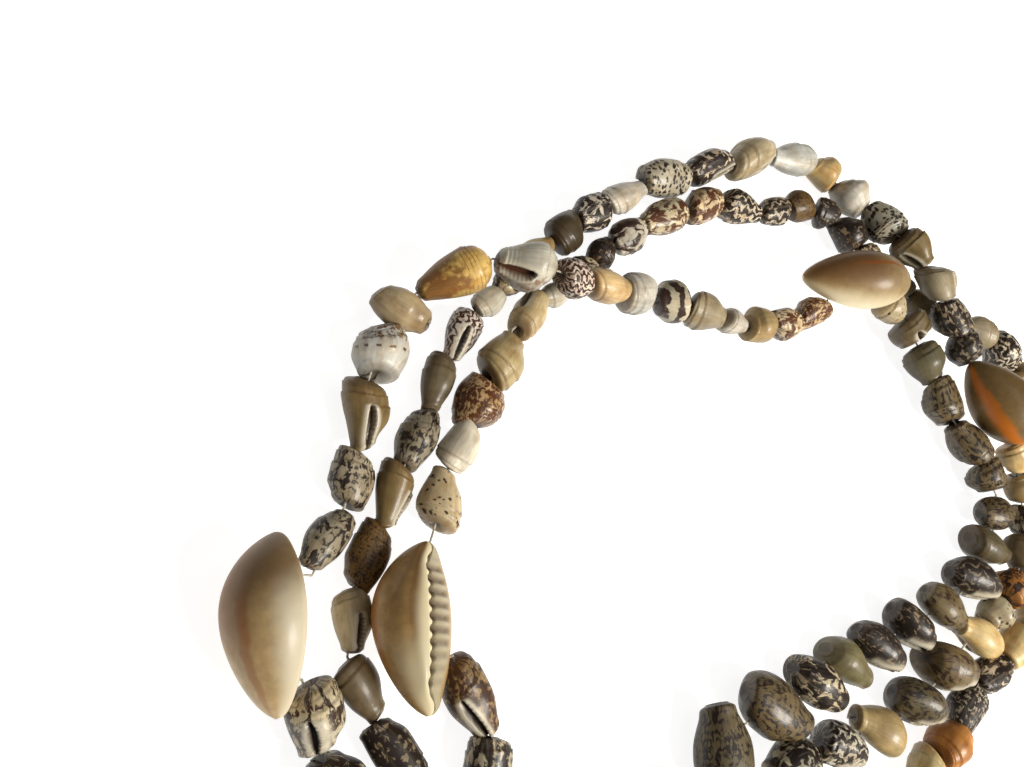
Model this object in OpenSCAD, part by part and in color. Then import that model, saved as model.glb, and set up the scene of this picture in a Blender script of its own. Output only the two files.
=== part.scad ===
// Necklace of three strands of whole sea shells, lying loose on a flat surface.
// Millimetres, +Z up. The origin is the middle of the neck opening, on the surface it lies on.
// Each strand is a closed loop that starts and ends at one clasp.

/* [Thread] */
// Thickness of the thread
thread_d = 0.5; // [0.4:0.1:0.9]
// Hole drilled through every shell for the thread
bore_d = 1.6; // [1.4:0.1:1.8]

/* [Small shells] */
// Fullness of the small shells against their charted girth
fullness = 1; // [0.9:0.01:1]
// Bare thread left at each end of a small shell
end_gap = 0.15; // [0.15:0.05:0.4]
// Length of a small shell's mouth, as a share of the shell's length
mouth_length = 0.56; // [0.4:0.02:0.6]
// Width of a small shell's mouth, as a share of its girth
mouth_width = 0.17; // [0.1:0.01:0.24]
// Distance of the mouth's floor from the axis, as a share of the radius
mouth_floor = 0.55; // [0.5:0.05:0.8]

/* [Cowries] */
// Length, width and height of the cowrie on the left of the outer strand
cowrie_left_size = [32, 18, 12.5]; // [10:0.5:33]
// Length, width and height of the cowrie that lies on its side
cowrie_toothed_size = [32, 19, 13.5]; // [10:0.5:33]
// Length, width and height of the cowrie at the crossing on the right
cowrie_right_size = [35, 16.5, 13]; // [10:0.5:35]
// Length, width and height of the striped cowrie at the right edge
cowrie_edge_size = [31, 18.5, 14]; // [10:0.5:31]
// Depth of a cowrie's mouth slit
slit_depth = 2.4; // [1:0.1:3]

/* [Clasp] */
// Length of the clasp bar
clasp_l = 14; // [12:0.5:16]
// Diameter of the clasp bar
clasp_d = 9; // [8.5:0.5:9]
// Height between neighbouring thread holes in the clasp bar
clasp_pitch = 2.4; // [2.3:0.1:2.6]
// Rounding at the ends of the clasp bar
clasp_round = 1; // [0.5:0.1:1.2]

/* [Hidden] */

// Colours
cream = [0.86, 0.79, 0.66];
tan = [0.70, 0.60, 0.45];
golden = [0.85, 0.62, 0.28];
pearl = [0.88, 0.87, 0.84];
thread_white = [0.93, 0.92, 0.88];

// Routes of the three strands over the surface, each a closed loop: x, y and the lift that one
// strand needs where it crosses another. The first point is the clasp.
OUTER_ROUTE = [
    [-56, -83, 0], [-72, -90, 0], [-89, -83, 0], [-101, -64, 0], [-109, -41, 0], [-113, -21, 0],
    [-103, -4, 0], [-97, 15, 0], [-93, 33, 0.5], [-77, 49, 4], [-63, 49, 9.5], [-48, 46.2, 9.5],
    [-35, 45.6, 5.5], [-22, 47, 0], [-1, 42, 0], [16, 39.5, 0], [37, 45, 1], [52, 49, 4], [67, 45, 3],
    [76.5, 35, 0], [83.5, 16, 0], [94, 0, 0], [99, -14, 0], [90, -26, 0], [77, -36, 0], [62, -41, 0],
    [34, -47, 0], [10, -53, 0], [-3, -56, 0], [-20, -59, 0], [-32, -69, 0], [-43, -79, 0]
];
MIDDLE_ROUTE = [
    [-56, -83, 0], [-72, -82, 0], [-85, -71, 0], [-93, -51.5, 0], [-100.7, -35.3, 0], [-103, -23, 0],
    [-96.6, -8.8, 0], [-85.5, 13, 0], [-74, 35, 0], [-59, 50, 0], [-44, 62, 0], [-24, 74.5, 0], [6, 86, 0],
    [40, 94, 0], [52, 89, 0], [60, 82, 1], [68, 73, 4], [74, 63, 8], [79, 53, 9], [84, 43, 8],
    [91, 32, 5], [103, 16, 2], [110, -2, 1], [111, -17, 0], [105, -30, 0], [93, -41.5, 0], [75, -49.3, 0],
    [58, -56, 0], [46, -64, 0], [28, -66, 0], [1, -68.5, 0], [-16, -76, 0], [-33, -84, 0]
];
INNER_ROUTE = [
    [-56, -83, 0], [-70.2, -73.6, 0], [-75.2, -61.6, 0], [-75.4, -52, 0], [-78, -42, 0], [-84.6, -25, 0.5],
    [-84, -5, 0], [-78, 8, 0], [-66, 27, 0], [-59, 39, 0], [-42, 50, 0], [-28, 61, 0], [-1, 74, 0],
    [27, 75, 0], [47, 79, 0], [55, 71, 0], [64, 63, 0], [82, 50, 0], [100, 44, 0], [118, 35, 0],
    [133, 18, 0], [135, 0, 0], [128, -23, 0], [113, -41, 0], [92.2, -55, 0], [76.6, -61, 0], [54, -75.5, 0],
    [35, -83, 0], [5, -90, 0], [-24, -96, 0], [-42, -89, 0]
];

// What is strung, in order from the clasp: kind, length along the strand, girth, which way the
// spire points (1 back along the strand, -1 ahead), mouth's turn from straight up (to the left), and
// how far the shell leans off the strand (to the left).
KIND = 0;
LENGTH = 1;
GIRTH = 2;
SPIRE = 3;
MOUTH = 4;
TILT = 5;
OUTER = [
    ["bare", 13, 0, 1, 0, 0], ["barrel", 15.5, 10.5, 1, 120, 8], ["drop", 15, 11, -1, -60, -10],
    ["barrel", 15.5, 10.5, 1, 180, 6], ["dove", 13.5, 11.5, 1, 140, 10],
    ["dove", 14, 10.7, -1, 20, -12], ["cowrie_left", 19, 16, 1, 0, 0],
    ["dove", 14.5, 7.5, -1, 180, -12], ["barrel", 11.5, 9, -1, 160, 4],
    ["drop", 15.3, 9.5, -1, -10, 6], ["barrel", 13, 11.5, -1, 170, 18],
    ["dove", 8.7, 8.2, 1, 150, -80], ["cone_golden", 18.6, 10.5, -1, 165, 0],
    ["cone_white", 15, 11.5, -1, -50, 0], ["barrel", 9.5, 8.8, 1, 180, 10],
    ["barrel", 11, 9, 1, 60, 0], ["round", 12.5, 10.5, 1, 150, 9],
    ["dove", 11.5, 11.5, -1, 180, 20], ["drop", 12, 10.5, 1, 120, 0], ["drop", 8, 7.5, 1, 90, 0],
    ["barrel", 9, 9.5, -1, 180, 5], ["barrel", 10.5, 9, 1, 150, -6],
    ["barrel", 11.5, 8.5, -1, 120, 4], ["cowrie_right", 20, 10, 1, 0, 0],
    ["round", 10.5, 9.5, 1, 120, 5], ["round", 10.5, 12.5, 1, -30, -6],
    ["drop", 12.5, 12, 1, 160, 0], ["barrel", 14, 11.5, 1, 180, -8], ["dove", 15, 12, -1, 180, 6],
    ["barrel", 11.5, 11, 1, 150, -5], ["dove", 12, 9.5, -1, 180, -70],
    ["drop", 13.5, 10.4, -1, 120, -68], ["dove", 15, 11.5, -1, 75, -50],
    ["dove", 15, 10.2, -1, 150, -58], ["dove", 14.5, 10.7, -1, 75, -55],
    ["dove", 13.5, 10.5, -1, 80, -52], ["drop", 11.5, 10.2, -1, 120, -50],
    ["dove", 13.3, 11, -1, 150, -50], ["dove", 18, 12.6, -1, 180, -45],
    ["dove", 18, 12.7, -1, 180, 60], ["barrel", 12.2, 11, 1, 120, -10]
];
MIDDLE = [
    ["bare", 13, 0, 1, 0, 0], ["barrel", 16.5, 10.5, 1, 120, 6], ["drop", 16, 10.5, -1, -60, -8],
    ["barrel", 13.5, 8.5, 1, 180, 8], ["drop", 13, 8.5, -1, 150, 10],
    ["drop", 13, 8.1, -1, -20, 10], ["barrel", 13, 8, -1, 180, 0], ["drop", 13, 8.5, -1, -60, 8],
    ["dove", 13, 8.5, -1, 180, 0], ["drop", 13, 7.5, -1, 180, 6], ["drop", 13.5, 8, -1, -10, 6],
    ["barrel", 8.5, 6.5, 1, 150, -8], ["dove", 10, 7, 1, 180, 10], ["drop", 9.5, 8, 1, 120, -5],
    ["round", 10, 10, 1, 165, 7], ["round", 11.5, 9.5, -1, 150, -6], ["drop", 14, 8, 1, 180, 0],
    ["barrel", 16, 10, -1, 160, -14], ["barrel", 16.5, 9.3, 1, -70, 8],
    ["dove", 17.5, 11.5, 1, -60, 10], ["drop", 16.5, 10, -1, 180, 0],
    ["round", 11, 10.5, -1, 180, 4], ["dove", 12.5, 11.5, 1, 90, -12],
    ["round", 12, 11.5, -1, 150, -10], ["drop", 11.5, 11.5, 1, -90, 0],
    ["round", 11.5, 11.5, 1, 30, -6], ["barrel", 11.5, 11.5, -1, 180, 8],
    ["barrel", 11, 10.6, 1, 180, -3], ["cowrie_edge", 28, 14, 1, 0, 0], ["drop", 11, 10, 1, 150, 9],
    ["barrel", 10, 10, -1, 180, 6], ["dove", 10.5, 10, 1, 120, -8],
    ["dove", 11.5, 10.5, 1, 180, 10], ["drop", 12.5, 11, -1, 150, -5], ["dove", 11, 10, 1, 180, 4],
    ["drop", 14, 10, 1, 120, -50], ["dove", 17.5, 12.3, -1, 75, -50],
    ["dove", 16.5, 11.7, -1, 75, -48], ["drop", 16, 10.6, 1, 150, -36],
    ["barrel", 13.5, 11.5, -1, 80, -25], ["dove", 15, 12, 1, 180, -8],
    ["barrel", 15, 10.6, -1, 120, 4], ["dove", 16, 10.5, 1, 150, -3]
];
INNER = [
    ["bare", 12, 0, 1, 0, 0], ["barrel", 13.5, 10, 1, 120, 6], ["barrel", 12, 10, -1, 180, -8],
    ["dove", 17.1, 9.4, -1, 30, 4], ["cowrie_toothed", 24.9, 13, 1, 0, 0],
    ["drop", 13.5, 9.5, 1, 180, 6], ["barrel", 10.5, 9, 1, 150, -6],
    ["barrel", 11.5, 11.5, 1, 180, 5], ["drop", 14, 11, 1, 160, -12],
    ["barrel", 12, 8.5, 1, 60, 12], ["dove", 9.5, 6.3, 1, 120, -10], ["barrel", 10, 8, -1, 180, -8],
    ["dove", 8, 8, 1, 150, 10], ["dove", 12, 9, 1, 180, 0], ["dove", 16, 9.5, -1, 180, -3],
    ["barrel", 13.5, 10, 1, 90, 10], ["drop", 14.3, 9.5, 1, 120, -10], ["barrel", 12, 8, 1, 180, 8],
    ["barrel", 10.5, 9, -1, 150, 0], ["round", 9.5, 9, 1, 165, 8],
    ["round", 11.5, 10.5, -1, 150, -5], ["drop", 12, 9, 1, 180, -8], ["barrel", 12, 9, -1, 120, 10],
    ["dove", 12, 9, 1, 150, -5], ["dove", 11, 9, 1, 180, 4], ["drop", 13.5, 10, -1, 120, 8],
    ["dove", 14.5, 12, 1, 180, -10], ["barrel", 14.5, 11, -1, 150, 5], ["dove", 14, 11, 1, 180, -6],
    ["drop", 14.5, 11.5, 1, 120, 9], ["barrel", 13, 11, -1, 180, 6],
    ["dove", 13.5, 10.5, 1, 150, -8], ["dove", 14.5, 11.5, -1, 180, 10],
    ["drop", 14.5, 11, 1, 120, -5], ["round", 14.5, 11, 1, 180, 5],
    ["barrel", 14.5, 9, -1, 150, -8], ["barrel", 14.5, 9.5, 1, 180, 0],
    ["barrel", 12, 10.8, -1, 120, -10], ["drop", 13, 11, 1, 180, 8], ["dove", 15, 11, -1, 150, 9],
    ["dove", 15, 11.5, 1, 180, 6], ["drop", 15, 11, 1, 120, -8], ["dove", 15, 10.5, -1, 180, 10],
    ["barrel", 15, 11, 1, 150, -5]
];

// Where a strand's chart is split into its two nodes
OUTER_SPLIT = 24;
MIDDLE_SPLIT = 28;
INNER_SPLIT = 26;

// Outlines of the turned shells from spire to tip: share of the length, share of the radius
OUTLINES = [
    ["dove", [[0, 0.42], [0.06, 0.6], [0.18, 0.84], [0.32, 0.98], [0.46, 1],
        [0.6, 0.95], [0.76, 0.8], [0.9, 0.62], [1, 0.48]]],
    ["drop", [[0, 0.5], [0.06, 0.74], [0.16, 0.93], [0.3, 1], [0.46, 0.96],
        [0.62, 0.83], [0.78, 0.66], [0.9, 0.52], [1, 0.42]]],
    ["barrel", [[0, 0.5], [0.06, 0.7], [0.2, 0.9], [0.36, 0.99], [0.5, 1],
        [0.64, 0.97], [0.8, 0.86], [0.92, 0.72], [1, 0.6]]],
    ["round", [[0, 0.45], [0.07, 0.7], [0.2, 0.92], [0.4, 1], [0.6, 0.97],
        [0.78, 0.84], [0.92, 0.66], [1, 0.52]]],
    ["cone_golden", [[0, 0.2], [0.08, 0.5], [0.18, 0.84], [0.28, 1], [0.5, 0.86], [0.75, 0.63],
        [1, 0.36]]],
    ["cone_white", [[0, 0.3], [0.08, 0.5], [0.2, 0.85], [0.3, 1], [0.5, 0.92], [0.75, 0.66], [1, 0.36]]]
];

SMALL_KINDS = ["dove", "drop", "barrel", "round"];
// A shell that leans more than this lies across the strand, and its length is this share of its girth
most_lean = 30;
cross_length = 1.35;
// Room that a leaning shell's corner takes up, as a share of its girth
corner_share = 0.5;
// Radius that bends keep clear at a shell's ends, as a share of its greatest radius
rim_share = 0.65;

// The cowries: middle of the base, heading, pitch and roll in degrees, size
COWRIES = [
    ["cowrie_left", [-113.4, -21, 8], [88, 0, -68], cowrie_left_size],
    ["cowrie_toothed", [-86.8, -24.7, 13.4], [83, -9, -139], cowrie_toothed_size],
    ["cowrie_right", [48, 53, 9], [-4, 10, 8], cowrie_right_size],
    ["cowrie_edge", [102.1, 17.4, 9.5], [-54, 0, 38], cowrie_edge_size]
];
PLACE = 1;
ATTITUDE = 2;
SIZE = 3;
cowrie_rings = 18;
dome_steps = 10;
// Where the thread turns inside a cowrie, as shares of its length and height
cowrie_bend_at = 0.27;
cowrie_bend_up = 0.36;
// How much wider than the hole the turn is
bend_room = 0.4;
thread_sides = 8;
curve_steps = 12;
turned_sides = 48;
least_wall = 0.5;
// Bare thread between a cowrie and the small shell beside it
cowrie_gap = 1;
clasp_z = clasp_d / 2;

// Geometry of a closed smooth route
function bend4(a, b, c, d, t) =
    (2 * b + (c - a) * t + (2 * a - 5 * b + 4 * c - d) * t * t + (3 * b - a - 3 * c + d) * t * t * t) / 2;
function closed_curve(route) = let (n = len(route)) [
    for (i = [0 : n])
        for (j = [0 : i < n ? curve_steps - 1 : 0])
            bend4(route[(i + n - 1) % n], route[i % n], route[(i + 1) % n], route[(i + 2) % n],
                j / curve_steps)
];
function flat(p) = [p.x, p.y];
function arcs(curve) = [
    for (i = 0, s = 0; i < len(curve);
        i = i + 1, s = s + (i < len(curve) ? norm(flat(curve[i]) - flat(curve[i - 1])) : 0)) s
];
function arc_table(curve) = let (s = arcs(curve)) [
    for (k = [0 : 2]) [for (i = [0 : len(curve) - 1]) [s[i], curve[i][k]]]
];
function at_arc(table, s) = [for (k = [0 : 2]) lookup(s, table[k])];
function unit(v) = v / norm(v);

// Joints of a strand: row k of the chart runs from joint k to joint k + 1
function starts(chart) = [
    for (k = 0, s = clasp_l / 2; k <= len(chart);
        k = k + 1, s = s + (k <= len(chart) ? chart[k - 1][LENGTH] : 0)) s
];
function radius(chart, k) = k < 0 || k >= len(chart) ? 0 : chart[k][GIRTH] / 2;
function joints(route, chart, clasp_hole) = let (
    table = arc_table(closed_curve(route)),
    s = starts(chart)
) [
    for (k = [0 : len(chart)])
        let (p = at_arc(table, s[k]))
        k == 0 ? [route[0].x - clasp_l / 2, route[0].y, clasp_z + clasp_hole]
        : [p.x, p.y, max(radius(chart, k - 1), radius(chart, k)) + max(0, p.z)]
];

// Bare length kept at a joint so that neighbouring shells clear each other where the strand bends
function is_cowrie(chart, k) = is_num(search([chart[k][KIND]], COWRIES)[0]);
function setback(chart, joint, k) =
    k <= 0 || k >= len(chart) ? end_gap
    : is_cowrie(chart, k - 1) || is_cowrie(chart, k) ? cowrie_gap
    : let (
        a = unit(joint[k] - joint[k - 1]),
        b = unit(joint[k + 1] - joint[k]),
        bend = acos(min(1, a * b)),
        rim = rim_share * max(radius(chart, k - 1), radius(chart, k))
    ) end_gap + rim * tan(bend / 2);

OUTER_JOINTS = joints(OUTER_ROUTE, OUTER, clasp_pitch);
MIDDLE_JOINTS = joints(MIDDLE_ROUTE, MIDDLE, 0);
INNER_JOINTS = joints(INNER_ROUTE, INNER, -clasp_pitch);

// Stands its children's +Z along the line from p to q; their -X then points up
module along(p, q) {
    d = q - p;
    translate(p)
        rotate([0, acos(d.z / norm(d)), atan2(d.y, d.x)])
            children();
}

module rod(p, q, d) {
    along(p, q)
        cylinder(h = norm(q - p), d = d, $fn = 24);
}

// Small turned shells
function outline(kind) = OUTLINES[search([kind], OUTLINES)[0]][1];

module shell_body(kind, length, girth) {
    r = girth / 2;
    rotate_extrude($fn = turned_sides)
        polygon(concat(
            [[0, 0]],
            [for (p = outline(kind)) [max(p[1] * r, bore_d / 2 + least_wall), p[0] * length]],
            [[0, length]]
        ));
}

module mouth_outline(length, width) {
    // Two equal arcs that cross at the mouth's ends
    r = (length * length + width * width) / (4 * width);
    intersection() {
        translate([0, r - width / 2])
            circle(r = r, $fn = turned_sides);
        translate([0, width / 2 - r])
            circle(r = r, $fn = turned_sides);
    }
}

module shell_mouth(length, girth, turn) {
    rotate([0, 0, -turn])
        translate([-mouth_floor * girth / 2, 0, 0.68 * length])
            rotate([0, -90, 0])
                linear_extrude(girth)
                    mouth_outline(mouth_length * length, mouth_width * girth);
}

// Length of a shell that fills a stretch of the strand, or lies across it
function shell_length(room, girth, tilt) =
    abs(tilt) > most_lean ? cross_length * girth
    : (room - corner_share * girth * sin(abs(tilt))) / cos(tilt);

module small_shell(kind, room, girth, spire, turn, tilt) {
    length = shell_length(room, girth, tilt);
    difference() {
        translate([0, 0, room / 2])
            rotate([-tilt, 0, 0])
                mirror([0, 0, spire > 0 ? 0 : 1])
                    translate([0, 0, -length / 2])
                        difference() {
                            shell_body(kind, length, girth);
                            shell_mouth(length, girth, turn);
                        }
        translate([0, 0, -girth])
            cylinder(h = room + 2 * girth, d = bore_d, $fn = 24);
    }
}

module strung(chart, joint, k) {
    p = joint[k];
    q = joint[k + 1];
    before = setback(chart, joint, k);
    room = norm(q - p) - before - setback(chart, joint, k + 1);
    along(p, q)
        translate([0, 0, before])
            small_shell(chart[k][KIND], room, chart[k][GIRTH] * fullness, chart[k][SPIRE], chart[k][MOUTH],
                chart[k][TILT]);
}

module string(chart, joint, first, last) {
    for (k = [first : last])
        if (is_num(search([chart[k][KIND]], SMALL_KINDS)[0]))
            strung(chart, joint, k);
}

// Cowries: rings from end to end, each a dome over a base with a slit; +X along, +Z the back
function cowrie(name) = COWRIES[search([name], COWRIES)[0]];

function cowrie_ring(size, i) = let (
    s = i / cowrie_rings,
    e = sin(180 * s),
    c = cos(180 * s),
    w = size.y / 2 * pow(e, 0.6) * (1 + 0.1 * c),
    h = size.z * pow(e, 0.55) * (1 + 0.12 * c),
    rise = 0.16 * size.z * (1 - pow(e, 0.6)),
    slit = (i % 2 == 1 ? 0.35 : 0.8) * min(1, 1.6 * e),
    depth = min(slit_depth * min(1, 1.5 * e), 0.4 * h),
    base = [[-0.86 * w, 0.1 * h], [-0.5 * w, 0.01 * h], [-slit, 0], [0, depth], [slit, 0],
        [0.5 * w, 0.01 * h], [0.86 * w, 0.1 * h]]
) [
    for (k = [0 : dome_steps])
        let (f = -11 + 202 * k / dome_steps)
        [size.x * (0.5 - s), w * cos(f), rise + 0.34 * h + 0.66 * h * sin(f)],
    for (b = base) [size.x * (0.5 - s), b.x, rise + b.y]
];

function turned(v, attitude) = let (
    roll = attitude[2],
    pitch = attitude[1],
    head = attitude[0],
    a = [v.x, v.y * cos(roll) - v.z * sin(roll), v.y * sin(roll) + v.z * cos(roll)],
    b = [a.x * cos(pitch) - a.z * sin(pitch), a.y, a.x * sin(pitch) + a.z * cos(pitch)]
) [b.x * cos(head) - b.y * sin(head), b.x * sin(head) + b.y * cos(head), b.z];

// The two points inside a cowrie where the thread turns
function cowrie_bends(name) = let (c = cowrie(name), size = c[SIZE]) [
    for (side = [-1, 1])
        c[PLACE] + turned([side * cowrie_bend_at * size.x, 0, cowrie_bend_up * size.z], c[ATTITUDE])
];

// Those points in the order in which a strand meets them
function bends_from(name, p) = let (b = cowrie_bends(name))
    norm(b[0] - p) < norm(b[1] - p) ? b : [b[1], b[0]];

module cowrie_body(name) {
    c = cowrie(name);
    size = c[SIZE];
    count = dome_steps + 8;
    points = concat(
        [for (i = [1 : cowrie_rings - 1]) each cowrie_ring(size, i)],
        [[size.x / 2, 0, 0.3 * size.z], [-size.x / 2, 0, 0.3 * size.z]]
    );
    last = (cowrie_rings - 2) * count;
    sides = [
        for (i = [0 : cowrie_rings - 3])
            for (j = [0 : count - 1])
                let (a = i * count + j, b = i * count + (j + 1) % count)
                each [[a, b, b + count], [a, b + count, a + count]]
    ];
    ends = [
        for (j = [0 : count - 1])
            each [
                [last + count, (j + 1) % count, j],
                [last + count + 1, last + j, last + (j + 1) % count]
            ]
    ];
    polyhedron([for (p = points) c[PLACE] + turned(p, c[ATTITUDE])], concat(sides, ends), convexity = 6);
}

module cowrie_shell(name, p, q) {
    bends = bends_from(name, p);
    difference() {
        cowrie_body(name);
        rod(p, bends[0], bore_d);
        rod(bends[0], bends[1], bore_d);
        rod(bends[1], q, bore_d);
        for (b = bends)
            translate(b)
                sphere(d = bore_d + bend_room, $fn = 24);
    }
}

module cowrie_left() {
    color(cream)
        cowrie_shell("cowrie_left", OUTER_JOINTS[6], OUTER_JOINTS[7]);
}

module cowrie_toothed() {
    color(cream)
        cowrie_shell("cowrie_toothed", INNER_JOINTS[4], INNER_JOINTS[5]);
}

module cowrie_right() {
    color(tan)
        cowrie_shell("cowrie_right", OUTER_JOINTS[23], OUTER_JOINTS[24]);
}

module cowrie_edge() {
    color(tan)
        cowrie_shell("cowrie_edge", MIDDLE_JOINTS[28], MIDDLE_JOINTS[29]);
}

module cone_golden() {
    color(golden)
        strung(OUTER, OUTER_JOINTS, 12);
}

module cone_white() {
    color(pearl)
        strung(OUTER, OUTER_JOINTS, 13);
}

module strand_outer_a() {
    color(cream)
        string(OUTER, OUTER_JOINTS, 0, OUTER_SPLIT - 1);
}

module strand_outer_b() {
    color(tan)
        string(OUTER, OUTER_JOINTS, OUTER_SPLIT, len(OUTER) - 1);
}

module strand_middle_a() {
    color(cream)
        string(MIDDLE, MIDDLE_JOINTS, 0, MIDDLE_SPLIT - 1);
}

module strand_middle_b() {
    color(tan)
        string(MIDDLE, MIDDLE_JOINTS, MIDDLE_SPLIT, len(MIDDLE) - 1);
}

module strand_inner_a() {
    color(cream)
        string(INNER, INNER_JOINTS, 0, INNER_SPLIT - 1);
}

module strand_inner_b() {
    color(tan)
        string(INNER, INNER_JOINTS, INNER_SPLIT, len(INNER) - 1);
}

// Threads: one closed tube each, through every joint, the cowries' bends and the clasp
function thread_path(chart, joint, route, clasp_hole) = concat(
    [
        for (k = [0 : len(chart)])
            each k < len(chart) && is_cowrie(chart, k)
                ? concat([joint[k]], bends_from(chart[k][KIND], joint[k]))
                : [joint[k]]
    ],
    [[route[0].x + clasp_l / 2, route[0].y, clasp_z + clasp_hole]]
);

module thread(path) {
    n = len(path);
    rings = [
        for (i = [0 : n - 1])
            let (
                ahead = unit(path[(i + 1) % n] - path[i]),
                behind = unit(path[i] - path[(i + n - 1) % n]),
                way = unit(ahead + behind),
                side = unit(cross([0, 0, 1], way)),
                top = cross(way, side)
            )
            for (k = [0 : thread_sides - 1])
                let (f = 360 * k / thread_sides)
                path[i] + (side * cos(f) + top * sin(f)) * thread_d / 2
    ];
    faces = [
        for (i = [0 : n - 1])
            for (k = [0 : thread_sides - 1])
                let (
                    a = i * thread_sides + k,
                    b = i * thread_sides + (k + 1) % thread_sides,
                    c = (i + 1) % n * thread_sides + k,
                    d = (i + 1) % n * thread_sides + (k + 1) % thread_sides
                )
                each [[a, d, b], [a, c, d]]
    ];
    polyhedron(rings, faces, convexity = 10);
}

module thread_outer() {
    color(thread_white)
        thread(thread_path(OUTER, OUTER_JOINTS, OUTER_ROUTE, clasp_pitch));
}

module thread_middle() {
    color(thread_white)
        thread(thread_path(MIDDLE, MIDDLE_JOINTS, MIDDLE_ROUTE, 0));
}

module thread_inner() {
    color(thread_white)
        thread(thread_path(INNER, INNER_JOINTS, INNER_ROUTE, -clasp_pitch));
}

// Clasp: one plain round bar, a hole for each thread one above the other
module clasp_bar() {
    middle = OUTER_ROUTE[0];
    r = clasp_d / 2;
    color(cream)
        translate([middle.x - clasp_l / 2, middle.y, clasp_z])
            rotate([0, 90, 0])
                difference() {
                    rotate_extrude($fn = turned_sides)
                        polygon([
                            [0, 0], [r - clasp_round, 0], [r, clasp_round], [r, clasp_l - clasp_round],
                            [r - clasp_round, clasp_l], [0, clasp_l]
                        ]);
                    for (hole = [-1, 0, 1])
                        translate([hole * clasp_pitch, 0, -1])
                            cylinder(h = clasp_l + 2, d = bore_d, $fn = 24);
                }
}

strand_outer_a();
strand_outer_b();
strand_middle_a();
strand_middle_b();
strand_inner_a();
strand_inner_b();
cowrie_left();
cowrie_toothed();
cowrie_right();
cowrie_edge();
cone_golden();
cone_white();
thread_outer();
thread_middle();
thread_inner();
clasp_bar();
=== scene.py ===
# A necklace of three strands of small sea shells, laid on a pale table.
import math
from collections import namedtuple

import bmesh
import bpy
import numpy as np
from mathutils import Matrix, Vector


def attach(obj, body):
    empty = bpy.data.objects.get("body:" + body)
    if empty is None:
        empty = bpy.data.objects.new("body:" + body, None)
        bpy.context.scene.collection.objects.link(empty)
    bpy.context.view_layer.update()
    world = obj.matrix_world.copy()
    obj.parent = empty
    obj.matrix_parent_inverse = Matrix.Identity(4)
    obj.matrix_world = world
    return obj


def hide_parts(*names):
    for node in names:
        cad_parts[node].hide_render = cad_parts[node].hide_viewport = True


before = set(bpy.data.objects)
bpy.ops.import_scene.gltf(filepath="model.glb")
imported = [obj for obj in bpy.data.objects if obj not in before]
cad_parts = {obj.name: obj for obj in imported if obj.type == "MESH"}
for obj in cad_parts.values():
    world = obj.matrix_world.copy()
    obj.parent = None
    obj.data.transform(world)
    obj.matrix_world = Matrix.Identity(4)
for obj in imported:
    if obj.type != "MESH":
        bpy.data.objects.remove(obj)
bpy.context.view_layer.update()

MM = 0.001
# Keeps a division from failing
TINY = 0.01

# Camera: the picture's middle is a point on the table, seen from a little off straight above
IMAGE_WIDTH = 1024
FOCAL_PIXELS = 770
SENSOR = 36
NEAREST = 0.01
FARTHEST = 20
CAMERA_PLACE = Vector((-138.719, -11.608, 156.618)) * MM
CAMERA_AIM = Vector((-60, 25, 0)) * MM
CAMERA_TURN = math.radians(28)


def add_camera():
    """The camera faces CAMERA_AIM, and is turned about its own line of sight."""
    look = (CAMERA_AIM - CAMERA_PLACE).normalized()
    ahead = Vector((look.x, look.y, 0)).normalized()
    across = (ahead - look * ahead.dot(look)).normalized()
    left = (-look).cross(across)
    right = across * math.cos(CAMERA_TURN) - left * math.sin(CAMERA_TURN)
    up = across * math.sin(CAMERA_TURN) + left * math.cos(CAMERA_TURN)
    turn = Matrix((right, up, -look)).transposed().to_4x4()
    data = bpy.data.cameras.new("camera")
    data.sensor_width = SENSOR
    data.lens = FOCAL_PIXELS / IMAGE_WIDTH * SENSOR
    data.clip_start = NEAREST
    data.clip_end = FARTHEST
    camera = bpy.data.objects.new("camera", data)
    camera.matrix_world = Matrix.Translation(CAMERA_PLACE) @ turn
    bpy.context.scene.collection.objects.link(camera)
    bpy.context.scene.camera = camera


# Routes of the three strands, in millimetres: x, y and any lift where one strand crosses another.
# The first point is the clasp, and each route is a closed loop.
OUTER_ROUTE = [
    (-56, -83), (-72, -90), (-89, -83), (-101, -64), (-109, -41), (-113, -21), (-103, -4),
    (-97, 15), (-93, 33, 0.5), (-77, 49, 4), (-63, 49, 9.5), (-48, 46.2, 9.5), (-35, 45.6, 5.5),
    (-22, 47), (-1, 42), (16, 39.5), (37, 45, 1), (52, 49, 4), (67, 45, 3), (76.5, 35), (83.5, 16),
    (94, 0), (99, -14), (90, -26), (77, -36), (62, -41), (34, -47), (10, -53), (-3, -56),
    (-20, -59), (-32, -69), (-43, -79),
]
MIDDLE_ROUTE = [
    (-56, -83), (-72, -82), (-85, -71), (-93, -51.5), (-100.7, -35.3), (-103, -23), (-96.6, -8.8),
    (-85.5, 13), (-74, 35), (-59, 50), (-44, 62), (-24, 74.5), (6, 86), (40, 94), (52, 89),
    (60, 82, 1), (68, 73, 4), (74, 63, 8), (79, 53, 9), (84, 43, 8), (91, 32, 5), (103, 16, 2),
    (110, -2, 1), (111, -17), (105, -30), (93, -41.5), (75, -49.3), (58, -56), (46, -64),
    (28, -66), (1, -68.5), (-16, -76), (-33, -84),
]
INNER_ROUTE = [
    (-56, -83), (-70.2, -73.6), (-75.2, -61.6), (-75.4, -52), (-78, -42), (-84.6, -25, 0.5),
    (-84, -5), (-78, 8), (-66, 27), (-59, 39), (-42, 50), (-28, 61), (-1, 74), (27, 75), (47, 79),
    (55, 71), (64, 63), (82, 50), (100, 44), (118, 35), (133, 18), (135, 0), (128, -23),
    (113, -41), (92.2, -55), (76.6, -61), (54, -75.5), (35, -83), (5, -90), (-24, -96), (-42, -89),
]

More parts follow.
